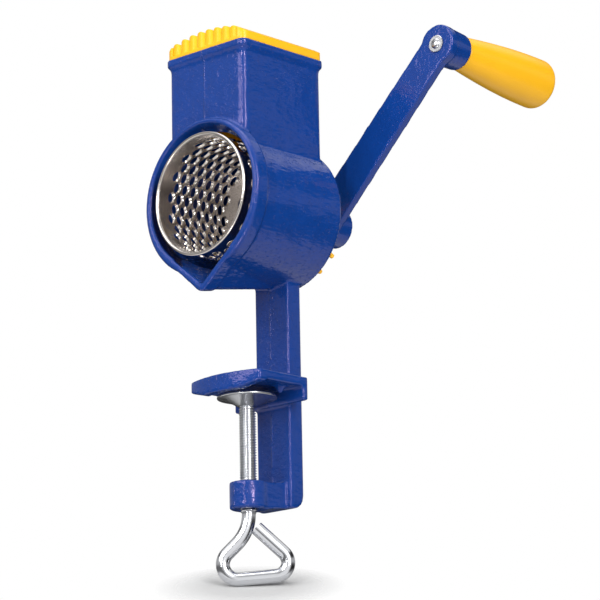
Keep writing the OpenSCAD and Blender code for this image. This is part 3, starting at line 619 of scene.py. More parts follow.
def crisp(piece, degrees=35):
    """Smooth shading with sharp edges over the given angle."""
    piece.data.shade_smooth()
    piece.data.set_sharp_from_angle(angle=math.radians(degrees))
    return piece


def eased(piece, width, segments=2):
    """Breaks the sharp edges of a piece."""
    step = piece.modifiers.new("edges", "BEVEL")
    step.width = width
    step.segments = segments
    step.limit_method = "ANGLE"
    step.angle_limit = math.radians(40)
    step.profile = 0.5
    return crisp(settle(piece))


def dress(piece, finish, body, *nodes):
    """Gives a piece its finish, the body it rides on and the nodes it stands for."""
    piece.data.materials.clear()
    piece.data.materials.append(material(finish))
    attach(piece, body)
    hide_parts(*nodes)
    return piece


def keel_outline(depth, radius, shoulder, slope):
    """Section under the axis: two sloping flanks on a round tip."""
    centre = depth - radius
    width = radius * math.sin(slope)
    width += (centre + radius * math.cos(slope) - shoulder) / math.tan(slope)
    half = math.degrees(slope)
    tip = arc((0, -centre), radius, 270 - half, 270 + half, 12)
    return [*tip, (width, -shoulder), (width, 0), (-width, 0), (-width, -shoulder)]


def keel(depth, radius, shoulder, slope, front, back):
    """Spout whose tip line rises to the rear, cut off square in front and behind."""
    h = bpy.context.scene.grinder_housing
    rise = math.atan2(h.keel_rise, h.depth)
    lead = depth * math.tan(rise) + 3 * MM
    turn = Matrix.Rotation(math.pi / 2 + rise, 4, "X") @ Matrix.Diagonal((1, 1, -1, 1))
    spout = prism("spout", keel_outline(depth * math.cos(rise), radius, shoulder, slope), -lead,
                  h.depth / math.cos(rise),
                  Matrix.Translation((0, h.mouth_y, h.axis_height)) @ turn)
    room = block("room", (-h.band_radius, h.mouth_y + front, h.axis_height - 2 * h.bore),
                 (h.band_radius, h.mouth_y + back, h.axis_height))
    return combined(spout, "INTERSECT", room)


def below_axis(drop):
    """Frame along the drum at the mouth, a little below its axis."""
    h = bpy.context.scene.grinder_housing
    return Matrix.Translation((0, 0, -drop)) @ along_y(h.mouth_y)


def housing_solid():
    """Round housing with its band, and the spout under it."""
    h = bpy.context.scene.grinder_housing
    post = bpy.context.scene.grinder_clamp
    band = lathe("band", [(0, 0), (h.band_radius - h.edge, 0), (h.band_radius, h.edge),
                          (h.band_radius, h.band_width),
                          (h.band_radius - h.band_fall, h.band_width + h.band_slope),
                          (0, h.band_width + h.band_slope)], below_axis(h.band_drop))
    shell = lathe("housing", [(0, h.band_width / 2), (h.radius, h.band_width / 2),
                              (h.radius, h.depth), (0, h.depth)], below_axis(h.drop))
    return combined(shell, "UNION", band,
                    keel(h.keel_depth, h.keel_radius, h.keel_shoulder, h.keel_slope, 0,
                         h.band_width),
                    keel(h.keel_depth - h.keel_step, h.keel_radius, h.keel_shoulder, h.keel_slope,
                         h.band_width / 3, post.post_y - h.mouth_y + 4 * MM))


def housing_hollow():
    """Flared mouth, bore and trough."""
    h = bpy.context.scene.grinder_housing
    over = 1 * MM
    flare = lathe("flare", [(0, -over), (h.mouth_radius + over * h.flare_in / h.flare, -over),
                            (h.mouth_radius - h.flare_in, h.flare), (0, h.flare)],
                  along_y(h.mouth_y))
    bore = lathe("bore", [(0, -over), (h.bore, -over), (h.bore, h.depth - h.rear_wall),
                          (0, h.depth - h.rear_wall)], below_axis(h.bore_drop))
    trough = keel(h.keel_depth - h.keel_wall, h.keel_radius - h.keel_wall + over,
                  h.trough_shoulder, h.trough_slope, -3 * MM, h.trough_length)
    bearing = lathe("bearing", [(0, -over), (h.bearing_bore, -over),
                                (h.bearing_bore, h.rear_wall + over), (0, h.rear_wall + over)],
                    along_y(h.mouth_y + h.depth - h.rear_wall))
    return combined(bore, "UNION", flare, trough, bearing)


def hopper_middle():
    """Middle of the hopper along the drum."""
    scene = bpy.context.scene
    hopper = scene.grinder_hopper
    return scene.grinder_housing.mouth_y + hopper.set_back + hopper.depth / 2


def hopper_solid():
    """Square hopper with a rim that a cove carries."""
    p = bpy.context.scene.grinder_hopper
    axis = bpy.context.scene.grinder_housing.axis_height
    middle = hopper_middle()
    walls = prism("hopper", rounded_square(p.width / 2, p.depth / 2, p.corner, middle), axis,
                  axis + p.height)
    cove = 3.5 * MM
    steps = 6
    rim = prism("rim", rounded_square(p.width / 2 + p.rim_out, p.depth / 2 + p.rim_out,
                                      p.corner + p.rim_out / 3, middle),
                axis + p.height - p.rim_height + cove, axis + p.height)
    parts = [rim]
    for i in range(steps):
        part = (i + 1) / steps
        out = p.rim_out * (1 - math.sqrt(1 - part * part))
        low = axis + p.height - p.rim_height + cove * i / steps
        parts.append(prism("cove", rounded_square(p.width / 2 + out, p.depth / 2 + out,
                                                  p.corner + out / 3, middle),
                           low, low + cove / steps + 0.1 * MM))
    return combined(walls, "UNION", *parts)


def hopper_hollow():
    """Shaft of the hopper, down into the bore."""
    p = bpy.context.scene.grinder_hopper
    axis = bpy.context.scene.grinder_housing.axis_height
    return prism("shaft", rounded_square(p.width / 2 - p.wall, p.depth / 2 - p.wall,
                                         p.corner - 1.5 * MM, hopper_middle()),
                 axis, axis + p.height + 1 * MM)


def jaw_outline(set_in=0):
    """Plan of the jaw: straight sides and a bowed front edge, moved back by set_in."""
    c = bpy.context.scene.grinder_clamp
    half = c.jaw_width / 2
    bow = (c.jaw_bow ** 2 + half ** 2) / (2 * c.jaw_bow)
    spread = math.degrees(math.asin(half / bow))
    front = arc((0, c.jaw_side - c.jaw_bow + bow + set_in), bow, 270 - spread, 270 + spread, 24)
    return [*front, (half, c.post_y + 0.5 * MM), (-half, c.post_y + 0.5 * MM)]


def jaw_solid():
    """Upper jaw with its lip, root and grip pips."""
    c = bpy.context.scene.grinder_clamp
    plate = prism("jaw", jaw_outline(), c.jaw_z, c.jaw_z + c.jaw_thickness)
    lip = prism("lip", jaw_outline(), 0, c.jaw_z + 1 * MM)
    inner = prism("inner", jaw_outline(c.lip_depth), -1 * MM, c.jaw_z + 2 * MM)
    half = c.jaw_width / 2 + 1 * MM
    keep = prism("keep", [(-c.seat_width / 2, 0), (c.seat_width / 2, 0), (half, c.lip_thin),
                          (half, c.jaw_z + 1 * MM), (-half, c.jaw_z + 1 * MM), (-half, c.lip_thin)],
                 -40 * MM, 20 * MM, Matrix.Rotation(math.pi / 2, 4, "X"))
    combined(lip, "INTERSECT", keep)
    combined(lip, "DIFFERENCE", inner)
    disc_clear = 14.6 * MM
    face = c.screw_y + disc_clear
    root = block("root", (-c.jaw_width / 2, face, c.jaw_z - c.root_height),
                 (c.jaw_width / 2, c.post_y + 0.5 * MM, c.jaw_z + 1 * MM))
    pips = []
    for side in (-1, 1):
        place = Matrix.Translation((side * c.pip_x, c.pip_y, 0))
        pips.append(lathe("pip", [(0, 0.3 * MM), (0.6 * MM, 0.5 * MM), (c.pip_radius, c.jaw_z),
                                  (c.pip_radius, c.jaw_z + 0.5 * MM), (0, c.jaw_z + 0.5 * MM)],
                          place, 24))
    return combined(plate, "UNION", lip, root, *pips)


def post_solid():
    """Post from the housing down to the lower arm, with the screw boss."""
    c = bpy.context.scene.grinder_clamp
    axis = bpy.context.scene.grinder_housing.axis_height
    back = c.post_y + c.post_depth
    bottom = -c.arm_top - c.arm_height - 0.6 * MM
    bottom += (back - c.screw_y) * math.tan(c.arm_slope) * 0.6
    heel = arc((back - c.foot_radius, bottom + c.foot_radius), c.foot_radius, 270, 360, 10)
    outline = [(c.post_y, bottom), *heel, (back, axis - 30 * MM), (c.post_y, axis - 30 * MM)]
    side_on = Matrix(((0, 0, 1, 0), (1, 0, 0, 0), (0, 1, 0, 0), (0, 0, 0, 1)))
    post = prism("post", outline, -c.post_width / 2, c.post_width / 2, side_on)
    run = (c.post_y - c.screw_y + 4 * MM) / math.cos(c.arm_slope)
    arm = block("arm", (-c.arm_width / 2, 0, -c.arm_height), (c.arm_width / 2, run, 0))
    arm.data.transform(Matrix.Translation((0, c.screw_y, -c.arm_top - 0.8 * MM))
                       @ Matrix.Rotation(c.arm_slope, 4, "X"))
    boss = lathe("boss", [(0, 0), (c.boss_radius, 0), (c.boss_radius, c.boss_height),
                          (0, c.boss_height)],
                 Matrix.Translation((0, c.screw_y, -c.arm_top - c.boss_height)), 48)
    return combined(post, "UNION", arm, boss)


class GRINDER_OT_casting(Operator):
    """Builds the housing, hopper and clamp as one rounded casting"""

    bl_idname = "grinder.casting"
    bl_label = "Casting"

    def execute(self, context):
        c = context.scene.grinder_clamp
        body = combined(housing_solid(), "UNION", hopper_solid(), post_solid(), jaw_solid())
        clear = 0.05 * MM
        screw_hole = lathe("hole", [(0, 0), (c.thread_radius + clear, 0),
                                    (c.thread_radius + clear, c.boss_height + 4 * MM),
                                    (0, c.boss_height + 4 * MM)],
                           Matrix.Translation((0, c.screw_y,
                                               -c.arm_top - c.boss_height - 2 * MM)), 48)
        combined(body, "DIFFERENCE", housing_hollow(), hopper_hollow(), screw_hole)
        grid = 0.8 * MM
        cast(body, grid, 3, 190000)
        body.name = "casting"
        dress(body, "blue_coat", "frame", "body_casting")
        return {"FINISHED"}


class GRINDER_OT_pusher(Operator):
    """Builds the ribbed lid and the hollow plunger under it"""

    bl_idname = "grinder.pusher"
    bl_label = "Pusher"

    def execute(self, context):
        p = context.scene.grinder_pusher
        hopper = context.scene.grinder_hopper
        house = context.scene.grinder_housing
        rim = house.axis_height + hopper.height
        half = hopper.width / 2 + p.overhang
        front = house.mouth_y + hopper.set_back - p.overhang
        side_on = Matrix.Translation((0, 0, rim)) @ Matrix.Rotation(math.pi / 2, 4, "X")
        lid = prism("pusher", self.lid_outline(p, half), -front - hopper.depth - 2 * p.overhang,
                    -front, side_on)
        back = front + hopper.depth + 2 * p.overhang
        ends = prism("ends", self.fluted_plan(p, half, front, back), rim + p.foot, rim + 3 * p.top)
        foot = prism("foot", rounded_square(half, (back - front) / 2, p.corner,
                                            (front + back) / 2), rim - p.foot, rim + 1.05 * p.foot)
        combined(lid, "INTERSECT", combined(foot, "UNION", ends))
        hx = hopper.width / 2 - hopper.wall - p.gap
        hy = hopper.depth / 2 - hopper.wall - p.gap
        middle = hopper_middle()
        plunger = prism("plunger", rounded_square(hx, hy, 2 * MM, middle), rim - p.plunger,
                        rim + p.base / 2)
        pockets = [block("pocket", (side * hx / 2 - hx / 2 + 0.75 * p.wall, middle - hy + p.wall,
                                    rim - p.plunger - 1 * MM),
                         (side * hx / 2 + hx / 2 - 0.75 * p.wall, middle + hy - p.wall, rim))
                   for side in (-1, 1)]
        radius = context.scene.grinder_drum.radius
        under = lathe("under", [(0, 0), (p.hollow, 0), (p.hollow, 2 * half + 20 * MM),
                                (0, 2 * half + 20 * MM)],
                      Matrix.Translation((0, 0, p.clear + radius - p.hollow))
                      @ along_y(front - 10 * MM))
        combined(plunger, "DIFFERENCE", *pockets)
        combined(lid, "UNION", plunger)
        combined(lid, "DIFFERENCE", under)
        dress(eased(lid, 0.45 * MM), "yellow_plastic", "pusher", "pusher")
        return {"FINISHED"}

    def fluted_plan(self, p, half, front, back):
        """Plan of the ribs: each ends in a round, between round corners."""
        span = math.degrees(math.asin(p.pitch / 2 / p.rib_radius))
        places = [(i - (p.ribs - 1) / 2) * p.pitch for i in range(p.ribs)]
        outline = arc((p.corner - half, front + p.corner), p.corner, 180, 270, 6)
        for x in places:
            outline += arc((x, front + p.rib_radius), p.rib_radius, 270 - span, 270 + span, 8)
        outline += arc((half - p.corner, front + p.corner), p.corner, 270, 360, 6)
        outline += arc((half - p.corner, back - p.corner), p.corner, 0, 90, 6)
        for x in reversed(places):
            outline += arc((x, back - p.rib_radius), p.rib_radius, 90 - span, 90 + span, 8)
        return outline + arc((p.corner - half, back - p.corner), p.corner, 90, 180, 6)

    def lid_outline(self, p, half):
        """Section across the ribs: round tops that follow an arch over sloping sides."""
        places = [(i - (p.ribs - 1) / 2) * p.pitch for i in range(p.ribs)]
        tops = [p.top - p.rib_radius - p.arch + math.sqrt(p.arch ** 2 - x * x) for x in places]
        outline = [(half, 0), (half, p.base)]
        for i in range(p.ribs - 1, -1, -1):
            span = math.degrees(math.asin(p.pitch / 2 / p.rib_radius))
            start = 90 - (30 if i == p.ribs - 1 else span * 0.94)
            end = 90 + (30 if i == 0 else span * 0.94)
            outline += arc((places[i], tops[i]), p.rib_radius, start, end, 10)
        return [*outline, (-half, p.base), (-half, 0)]


class GRINDER_OT_drum(Operator):
    """Builds the drum of punched sheet with its rolled bead"""

    bl_idname = "grinder.drum"
    bl_label = "Drum"

    def execute(self, context):
        d = context.scene.grinder_drum
        house = context.scene.grinder_housing
        front = house.mouth_y - d.proud + d.bead
        depth = house.depth - house.rear_wall - d.back_room
        pitch = (depth - d.first - d.last) / (d.holes - 0.5)
        around = UNIT_CIRCLE * d.radius / d.rows
        bm = self.cell(d, around, pitch)
        for row in range(d.rows):
            for hole in range(d.holes):
                if row or hole:
                    made = bmesh.ops.duplicate(bm, geom=self.first_cell(bm))
                    verts = [g for g in made["geom"] if isinstance(g, bmesh.types.BMVert)]
                    bmesh.ops.translate(bm, verts=verts, vec=(
                        row * around, pitch * (hole + row % 2 / 2), 0))
        inside = d.radius - d.sheet
        for vert in bm.verts:
            turn = vert.co.x / d.radius
            reach = inside + vert.co.z
            vert.co = (reach * math.cos(turn), reach * math.sin(turn), vert.co.y + d.first)
        bmesh.ops.remove_doubles(bm, verts=bm.verts, dist=2e-6)
        for low, high, end in ((0, d.first + pitch, 0), (depth - d.last - pitch, depth, depth)):
            rim = [e for e in bm.edges if e.is_boundary and self.between_holes(e, d, low, high)]
            made = bmesh.ops.extrude_edge_only(bm, edges=rim)
            for vert in (g for g in made["geom"] if isinstance(g, bmesh.types.BMVert)):
                vert.co.z = end
        bm.normal_update()
        bm.faces.ensure_lookup_table()
        face = bm.faces[0]
        middle = face.calc_center_median()
        if face.normal.dot(Vector((middle.x, middle.y, 0))) < 0:
            bmesh.ops.reverse_faces(bm, faces=bm.faces)
        bm.transform(along_y(front))
        shell = object_from("drum_shell_sheet", bm)
        wall = shell.modifiers.new("wall", "SOLIDIFY")
        wall.thickness = d.sheet
        wall.offset = 1
        crisp(settle(shell), 25)
        dress(shell, "stainless", "rotor", "drum_shell")
        ring = arc((d.radius + 0.5 * MM, 0), d.bead, 0, 360, 20)
        bead = crisp(lathe("drum_bead", ring, along_y(front), 160))
        dress(bead, "stainless", "rotor", "drum_shell")
        return {"FINISHED"}

    def first_cell(self, bm):
        """Vertices and faces of the first cell, which every other one copies."""
        bm.verts.ensure_lookup_table()
        bm.faces.ensure_lookup_table()
        return bm.verts[:self.RING * 4] + bm.faces[:self.RING * 3]

    RING = 24

    def cell(self, d, around, pitch):
        """One punched hole in the flat: free edge, ramp, oval and six-sided border."""
        bm = bmesh.new()
        ring = bmesh.ops.create_circle(bm, segments=self.RING, radius=1)["verts"]
        edges = list({e for v in ring for e in v.link_edges})
        for _ in range(3):
            made = bmesh.ops.extrude_edge_only(bm, edges=edges)["geom"]
            bmesh.ops.translate(bm, verts=[g for g in made if isinstance(g, bmesh.types.BMVert)],
                                vec=(0, 0, 1))
            edges = [g for g in made if isinstance(g, bmesh.types.BMEdge)
                     and abs(g.verts[0].co.z - g.verts[1].co.z) < 0.5]
        for vert in bm.verts:
            turn = math.atan2(vert.co.y, vert.co.x)
            vert.co = self.place(d, around, pitch, round(vert.co.z), turn)
        return bm

    def place(self, d, around, pitch, stage, turn):
        """Where a point of the cell goes: round the drum, along it and outwards."""
        if stage == 3:
            near = (around ** 2 - pitch ** 2 / 4) / (2 * around)
            corners = [(around - near, 0), (near, pitch / 2), (-near, pitch / 2),
                       (near - around, 0), (-near, -pitch / 2), (near, -pitch / 2)]
            step = round(math.degrees(turn) * self.RING / 360) % self.RING
            side, part = divmod(step, self.RING // 6)
            here, after = Vector(corners[side]), Vector(corners[(side + 1) % 6])
            x, y = here.lerp(after, part * 6 / self.RING)
            return Vector((x, y, 0))
        spin = Matrix.Rotation(d.slant, 2)
        outer = Vector((d.oval_around * math.cos(turn), d.oval_along * math.sin(turn)))
        if stage == 2:
            return Vector((*(spin @ outer), 0))
        ramp = Vector((math.cos(d.scoop), math.sin(d.scoop)))
        free = outer * d.opening - ramp * d.set_over
        rise = d.lip * (0.1 + 0.9 * ((1 + math.cos(turn - d.scoop)) / 2) ** 0.7)
        if stage == 0:
            return Vector((*(spin @ free), rise))
        return Vector((*(spin @ free.lerp(outer, 0.55)), rise * 0.5))

    def between_holes(self, edge, d, low, high):
        """Whether an open edge lies on the border of the cells, not round a hole."""
        inside = d.radius - d.sheet
        flat = all(abs(math.hypot(v.co.x, v.co.y) - inside) < 0.01 * MM for v in edge.verts)
        return flat and all(low <= v.co.z <= high for v in edge.verts)


def crank_frame():
    """Frame of the crank: z runs along the arm and y away from the housing."""
    c = bpy.context.scene.grinder_crank
    height = bpy.context.scene.grinder_housing.axis_height
    return (Matrix.Translation((0, c.face_y, height)) @ Matrix.Rotation(c.angle, 4, "Y")
            @ Matrix.Rotation(-c.lean, 4, "X"))


def handle_frame():
    """Frame of the handle: z runs along its axle, away from the eye's face."""
    reach = bpy.context.scene.grinder_crank.reach
    return (crank_frame() @ Matrix.Translation((0, 0, reach))
            @ Matrix.Rotation(-math.pi / 2, 4, "X"))


def rod(name, radius, low, high, frame_of, steps=64):
    """A plain round bar between two heights of a frame."""
    return lathe(name, [(0, low), (radius, low), (radius, high), (0, high)], frame_of, steps)


class GRINDER_OT_crank(Operator):
    """Builds the crank arm as a rounded casting"""

    bl_idname = "grinder.crank"
    bl_label = "Crank"

    def execute(self, context):
        c = context.scene.grinder_crank
        handle = context.scene.grinder_handle
        height = context.scene.grinder_housing.axis_height
        flat = crank_frame() @ Matrix(((1, 0, 0, 0), (0, 0, 1, 0), (0, 1, 0, 0), (0, 0, 0, 1)))
        shoulder = c.reach - 12 * MM
        half = c.tip_width / 2
        arm = prism("crank_arm_cast", [(-c.root_radius, 0), (c.root_radius, 0), (half, shoulder),
                                       (half, c.reach), (-half, c.reach), (-half, shoulder)],
                    0, c.thickness, flat)
        root = rod("root", c.root_radius, 0, c.thickness, flat)
        eye = rod("eye", c.eye_radius, 0, c.thickness, handle_frame())
        boss = lathe("boss", [(0, 0), (c.eye_radius, 0), (c.eye_end, c.eye_length),
                              (0, c.eye_length)], handle_frame(), 64)
        seat = 0.3 * MM
        hub = rod("hub", c.hub_radius, -seat, c.hub_length - seat, along_y(c.face_y))
        combined(arm, "UNION", root, eye, boss, hub)
        front = block("front", (-30 * MM, c.face_y - 20 * MM, height - 30 * MM),
                      (30 * MM, c.face_y - seat, height + 30 * MM))
        bore = rod("bore", c.spindle, -2 * MM, c.hub_length + 2 * MM, along_y(c.face_y))
        hole = rod("hole", handle.axle, -2 * MM, c.eye_length + 2 * MM, handle_frame())
        middle = c.face_y - seat + c.hub_length - 5 * MM
        across = rod("across", c.pin, -c.hub_radius - 1 * MM, c.hub_radius + 1 * MM,
                     Matrix.Translation((0, middle, height))
                     @ Matrix.Rotation(c.pin_turn, 4, "Y"))
        combined(arm, "DIFFERENCE", front, bore, hole, across)
        cast(arm, (0.55) * MM, 4, 120000)
        dress(arm, "coated_crank", "rotor", "crank_arm")
        return {"FINISHED"}


class GRINDER_OT_handle(Operator):
    """Builds the grip with its axle, rivet and washer"""

    bl_idname = "grinder.handle"
    bl_label = "Handle"

    def execute(self, context):
        s = context.scene.grinder_handle
        base = handle_frame() @ Matrix.Translation((0, 0, s.grip_start))
        bore = s.axle + s.play
        swell = s.grip_far - s.grip_near
        far = s.grip_length
        edge = arc((s.grip_far - s.grip_edge, far - s.grip_edge), s.grip_edge, 0, 90, 10)
        well = s.axle_head + 0.5 * MM
        profile = [(bore, 0), (s.grip_near - 0.6 * MM, 0), *arc(
            (s.grip_near - 0.6 * MM, 0.6 * MM), 0.6 * MM, 270, 360, 4)]
        for i in range(1, 16):
            part = i / 16
            profile.append((s.grip_near + swell * math.sin(part * math.pi / 2) ** 0.95,
                            0.6 * MM + (far - s.grip_edge - 0.6 * MM) * part))
        profile += [*edge, (well, far), (well, far - s.recess), (bore, far - s.recess), (bore, 0)]
        grip = crisp(lathe("grip_moulding", profile, base, 128))
        dress(grip, "yellow_plastic", "grip", "grip")
        head = s.grip_start + far - s.recess + 0.15 * MM
        dome = [(s.rivet * math.sin(math.radians(t)),
                 -s.washer_thickness - 1.0 * MM * math.cos(math.radians(t)))
                for t in range(0, 91, 10)]
        axle = lathe("axle_bar", [*dome, (s.rivet, -s.washer_thickness), (s.rivet - 0.55 * MM, -0.1 * MM),
                                  (s.axle, 0.8 * MM), (s.axle, head), (s.axle_head, head),
                                  (s.axle_head, head + 1.8 * MM),
                                  (s.axle_head - 0.4 * MM, head + 2.2 * MM), (0, head + 2.2 * MM)],
                     handle_frame(), 64)
        dress(crisp(axle), "pressed", "rotor", "handle_axle")
        washer = lathe("washer_ring", [(s.rivet - 0.5 * MM, 0), (s.washer, 0),
                                       (s.washer, -s.washer_thickness + 0.15 * MM),
                                       (s.washer - 0.2 * MM, -s.washer_thickness),
                                       (s.rivet - 0.5 * MM, -s.washer_thickness),
                                       (s.rivet - 0.5 * MM, 0)], handle_frame(), 64)
        dress(crisp(washer), "pressed", "rotor", "axle_washer")
        return {"FINISHED"}


class GRINDER_OT_screw(Operator):
    """Builds the clamp screw with its thread and loop, and the dished disc"""

    bl_idname = "grinder.screw"
    bl_label = "Clamp screw"

    def execute(self, context):
        s = context.scene.grinder_screw
        place = Matrix.Translation((0, context.scene.grinder_clamp.screw_y, 0))
        turned = place @ Matrix.Rotation(s.loop_angle, 4, "Z")
        radius = context.scene.grinder_clamp.thread_radius
        thread = self.thread(s, radius, turned)
        core = lathe("core", [(0, -s.bottom - 1.5 * MM), (s.wire * 0.98, -s.bottom - 1.5 * MM),
                              (s.wire, -s.bottom), (s.root, -s.bottom + 1 * MM),
                              (s.root, -s.top - 0.4 * MM), (s.root - 0.4 * MM, -s.top),
                              (2.6 * MM, -s.top), (2.6 * MM, -s.dish + s.disc_sheet + 0.08 * MM),
                              (3.6 * MM, -s.dish + s.disc_sheet + 0.08 * MM),
                              (3.8 * MM, -s.dish + s.disc_sheet + 0.5 * MM),
                              (3.2 * MM, -s.dish + s.disc_sheet + 1.2 * MM),
                              (0, -s.dish + s.disc_sheet + 1.28 * MM)], turned, 64)
        for piece, finish in ((thread, "thread"), (crisp(core), "thread"),
                              (self.loop(s, turned), "zinc")):
            dress(piece, finish, "clamp_screw", "clamp_screw")
        bend = s.disc_radius - s.disc_rim
        t = s.disc_sheet
        disc = lathe("disc_dish", [(s.neck, 0), (s.dish_floor, 0), (bend, s.dish - t),
                                   (s.disc_radius - 0.4 * MM, s.dish - t),
                                   *arc((s.disc_radius - 0.4 * MM, s.dish - t + 0.4 * MM),
                                        0.4 * MM, 270, 360, 4),
                                   *arc((s.disc_radius - 0.4 * MM, s.dish - 0.4 * MM), 0.4 * MM,
                                        0, 90, 4),
                                   (bend - 0.4 * MM, s.dish), (s.dish_floor - 0.4 * MM, t),
                                   (s.neck, t), (s.neck, 0)],
                     place @ Matrix.Translation((0, 0, -s.dish)))
        dress(crisp(disc), "pressed", "clamp_foot", "pressure_disc")
        return {"FINISHED"}

    def thread(self, s, radius, frame_of):
        """Helical thread from the wire up to the disc, fading out at both ends."""
        steps = 32
        low, high = -s.bottom - 0.2 * MM, -s.top
        turns = math.floor((high - low) / s.pitch)
        bm = bmesh.new()
        chain = ((s.root, 0), (s.root, 0.1), (radius, 0.42), (radius, 0.56), (s.root, 0.88),
                 (s.root, 1))
        verts = [bm.verts.new((reach, 0, low + part * s.pitch)) for reach, part in chain]
        edges = [bm.edges.new(pair) for pair in zip(verts, verts[1:])]
        bmesh.ops.spin(bm, geom=verts + edges, cent=(0, 0, 0), axis=(0, 0, 1),
                       angle=UNIT_CIRCLE * turns, dvec=(0, 0, s.pitch / steps),
                       steps=steps * turns, use_merge=False, use_duplicate=False)
        bmesh.ops.remove_doubles(bm, verts=bm.verts, dist=1e-6)
        fade = 1.2 * s.pitch
        top = max(v.co.z for v in bm.verts)
        for vert in bm.verts:
            reach = math.hypot(vert.co.x, vert.co.y)
            part = min(1, (vert.co.z - low) / fade, (top - vert.co.z) / fade)
            scale = (s.root + (reach - s.root) * max(0, part)) / reach
            vert.co.x *= scale
            vert.co.y *= scale
        bmesh.ops.holes_fill(bm, edges=[e for e in bm.edges if e.is_boundary], sides=0)
        bmesh.ops.recalc_face_normals(bm, faces=bm.faces)
        bm.transform(frame_of)
        return crisp(object_from("screw_thread", bm), 30)

    def loop(self, s, frame_of):
        """Bent wire under the screw, from its neck round to the cut end."""
        spot, heading = Vector((0, -s.bottom)), -math.pi / 2
        points = [spot + Vector((0, 1.2 * MM)), spot.copy()]
        bends = ((s.neck_bend, -s.neck_turn), (s.side_run, 0), (s.left_bend, s.left_turn),
                 (s.base_run, 0), (s.right_bend, s.right_turn), (s.end_run, 0))
        for size, turn in bends:
            steps = 18 if turn else 1
            for _ in range(steps):
                stride = abs(2 * size * math.sin(turn / steps / 2)) if turn else size
                heading += turn / steps / 2
                spot = spot + stride * Vector((math.cos(heading), math.sin(heading)))
                heading += turn / steps / 2
                points.append(spot.copy())
        data = bpy.data.curves.new("screw_loop", "CURVE")
        data.dimensions = "3D"
        data.bevel_depth = s.wire
        data.bevel_resolution = 12
        data.use_fill_caps = True
        line = data.splines.new("POLY")
        line.points.add(len(points) - 1)
        for point, (x, z) in zip(line.points, points):
            point.co = (x, 0, z, 1)
        wire = bpy.data.objects.new("wire", data)
        bpy.context.scene.collection.objects.link(wire)
        graph = bpy.context.evaluated_depsgraph_get()
        mesh = bpy.data.meshes.new_from_object(wire.evaluated_get(graph))
        bpy.data.objects.remove(wire)
        bm = bmesh.new()
        bm.from_mesh(mesh)
        bpy.data.meshes.remove(mesh)
        bm.transform(frame_of)
        return eased(object_from("screw_loop", bm), 0.7 * MM)


NODE_FINISH = {
    "yellow_plastic": ("bearing_sleeve",),
    "stainless": ("drum_end", "hub_rivets", "spring_washer", "crank_pin", "grip_washer"),
    "zinc": ("drum_hub", "spindle", "drum_screw", "drum_washer", "thrust_washer"),
}


class GRINDER_OT_finish_nodes(Operator):
    """Gives every node of the frame its finish"""

    bl_idname = "grinder.finish_nodes"
    bl_label = "Finish the nodes"

    def execute(self, context):
        for finish, names in NODE_FINISH.items():
            for name in names:
                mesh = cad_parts[name].data
                mesh.materials.clear()
                mesh.materials.append(material(finish))
        return {"FINISHED"}


# Grey levels that reflections show, by the height of their direction, behind and before the part.
BANDS_BEHIND = ((-1, 0.6), (-0.72, 1), (-0.54, 0.9), (-0.46, 0.1), (-0.12, 0), (0.05, 0.1), (0.14, 0.5),
                (0.32, 0.5), (0.38, 0.05), (0.62, 0), (0.66, 0.9), (1, 0.9))
BANDS_BEFORE = ((-1, 0.9), (-0.35, 1), (-0.22, 0.15), (0.05, 0.15), (0.14, 0.5), (0.4, 0.5), (0.5, 0.1), (0.8, 0.9))


def floor_finish():
    """Pale floor that keeps the object's cast shadow and adds a painted shadow: a grey patch under the loop that
    fades out into the white backdrop.
    """
    setup = bpy.context.scene.grinder_stage
    n = Nodes(bpy.data.materials.new("pale_floor"))
    painted_shadow_grey = n.add("BsdfDiffuse")
    # Grey of the painted shadow, darker than the white backdrop
    painted_shadow_grey.inputs["Color"].default_value = (0.5, 0.5, 0.5, 1)
    glow = n.add("Emission")
    glow.inputs["Strength"].default_value = setup.floor_glow
    lit = n.add("AddShader")
    n.link(painted_shadow_grey.outputs[0], lit.inputs[0])
    n.link(glow.outputs[0], lit.inputs[1])
    place = n.add("VectorMath", operation="DISTANCE")
    n.link(n.add("TexCoord").outputs["Object"], place.inputs[0])
    place.inputs[1].default_value = (setup.floor_x, setup.floor_y, setup.floor_z)
    # Painted shadow: the grey patch fades out to clear between a quarter and six tenths of the floor's radius
    away = n.ramp(place.outputs["Value"], setup.floor_radius * 0.25, setup.floor_radius * 0.6)
    hidden = n.math("MAXIMUM", away, n.add("NewGeometry").outputs["Backfacing"])
    clear = n.add("BsdfTransparent")
    n.link(n.blend(hidden, lit.outputs[0], clear.outputs[0]), n.output.inputs[0])
    return n.owner


def add_lamp(name, place, aim, width, height, power, level):
    """A soft rectangular lamp that the camera doesn't see."""
    data = bpy.data.lights.new(name, "AREA")
    data.shape = "RECTANGLE"
    data.size = width
    data.size_y = height
    data.energy = power * level
    lamp = bpy.data.objects.new(name, data)
    lamp.location = place
    lamp.rotation_mode = "QUATERNION"
    lamp.rotation_quaternion = (aim - Vector(place)).to_track_quat("-Z", "Y")
    lamp.visible_camera = False
    bpy.context.scene.collection.objects.link(lamp)
    return lamp


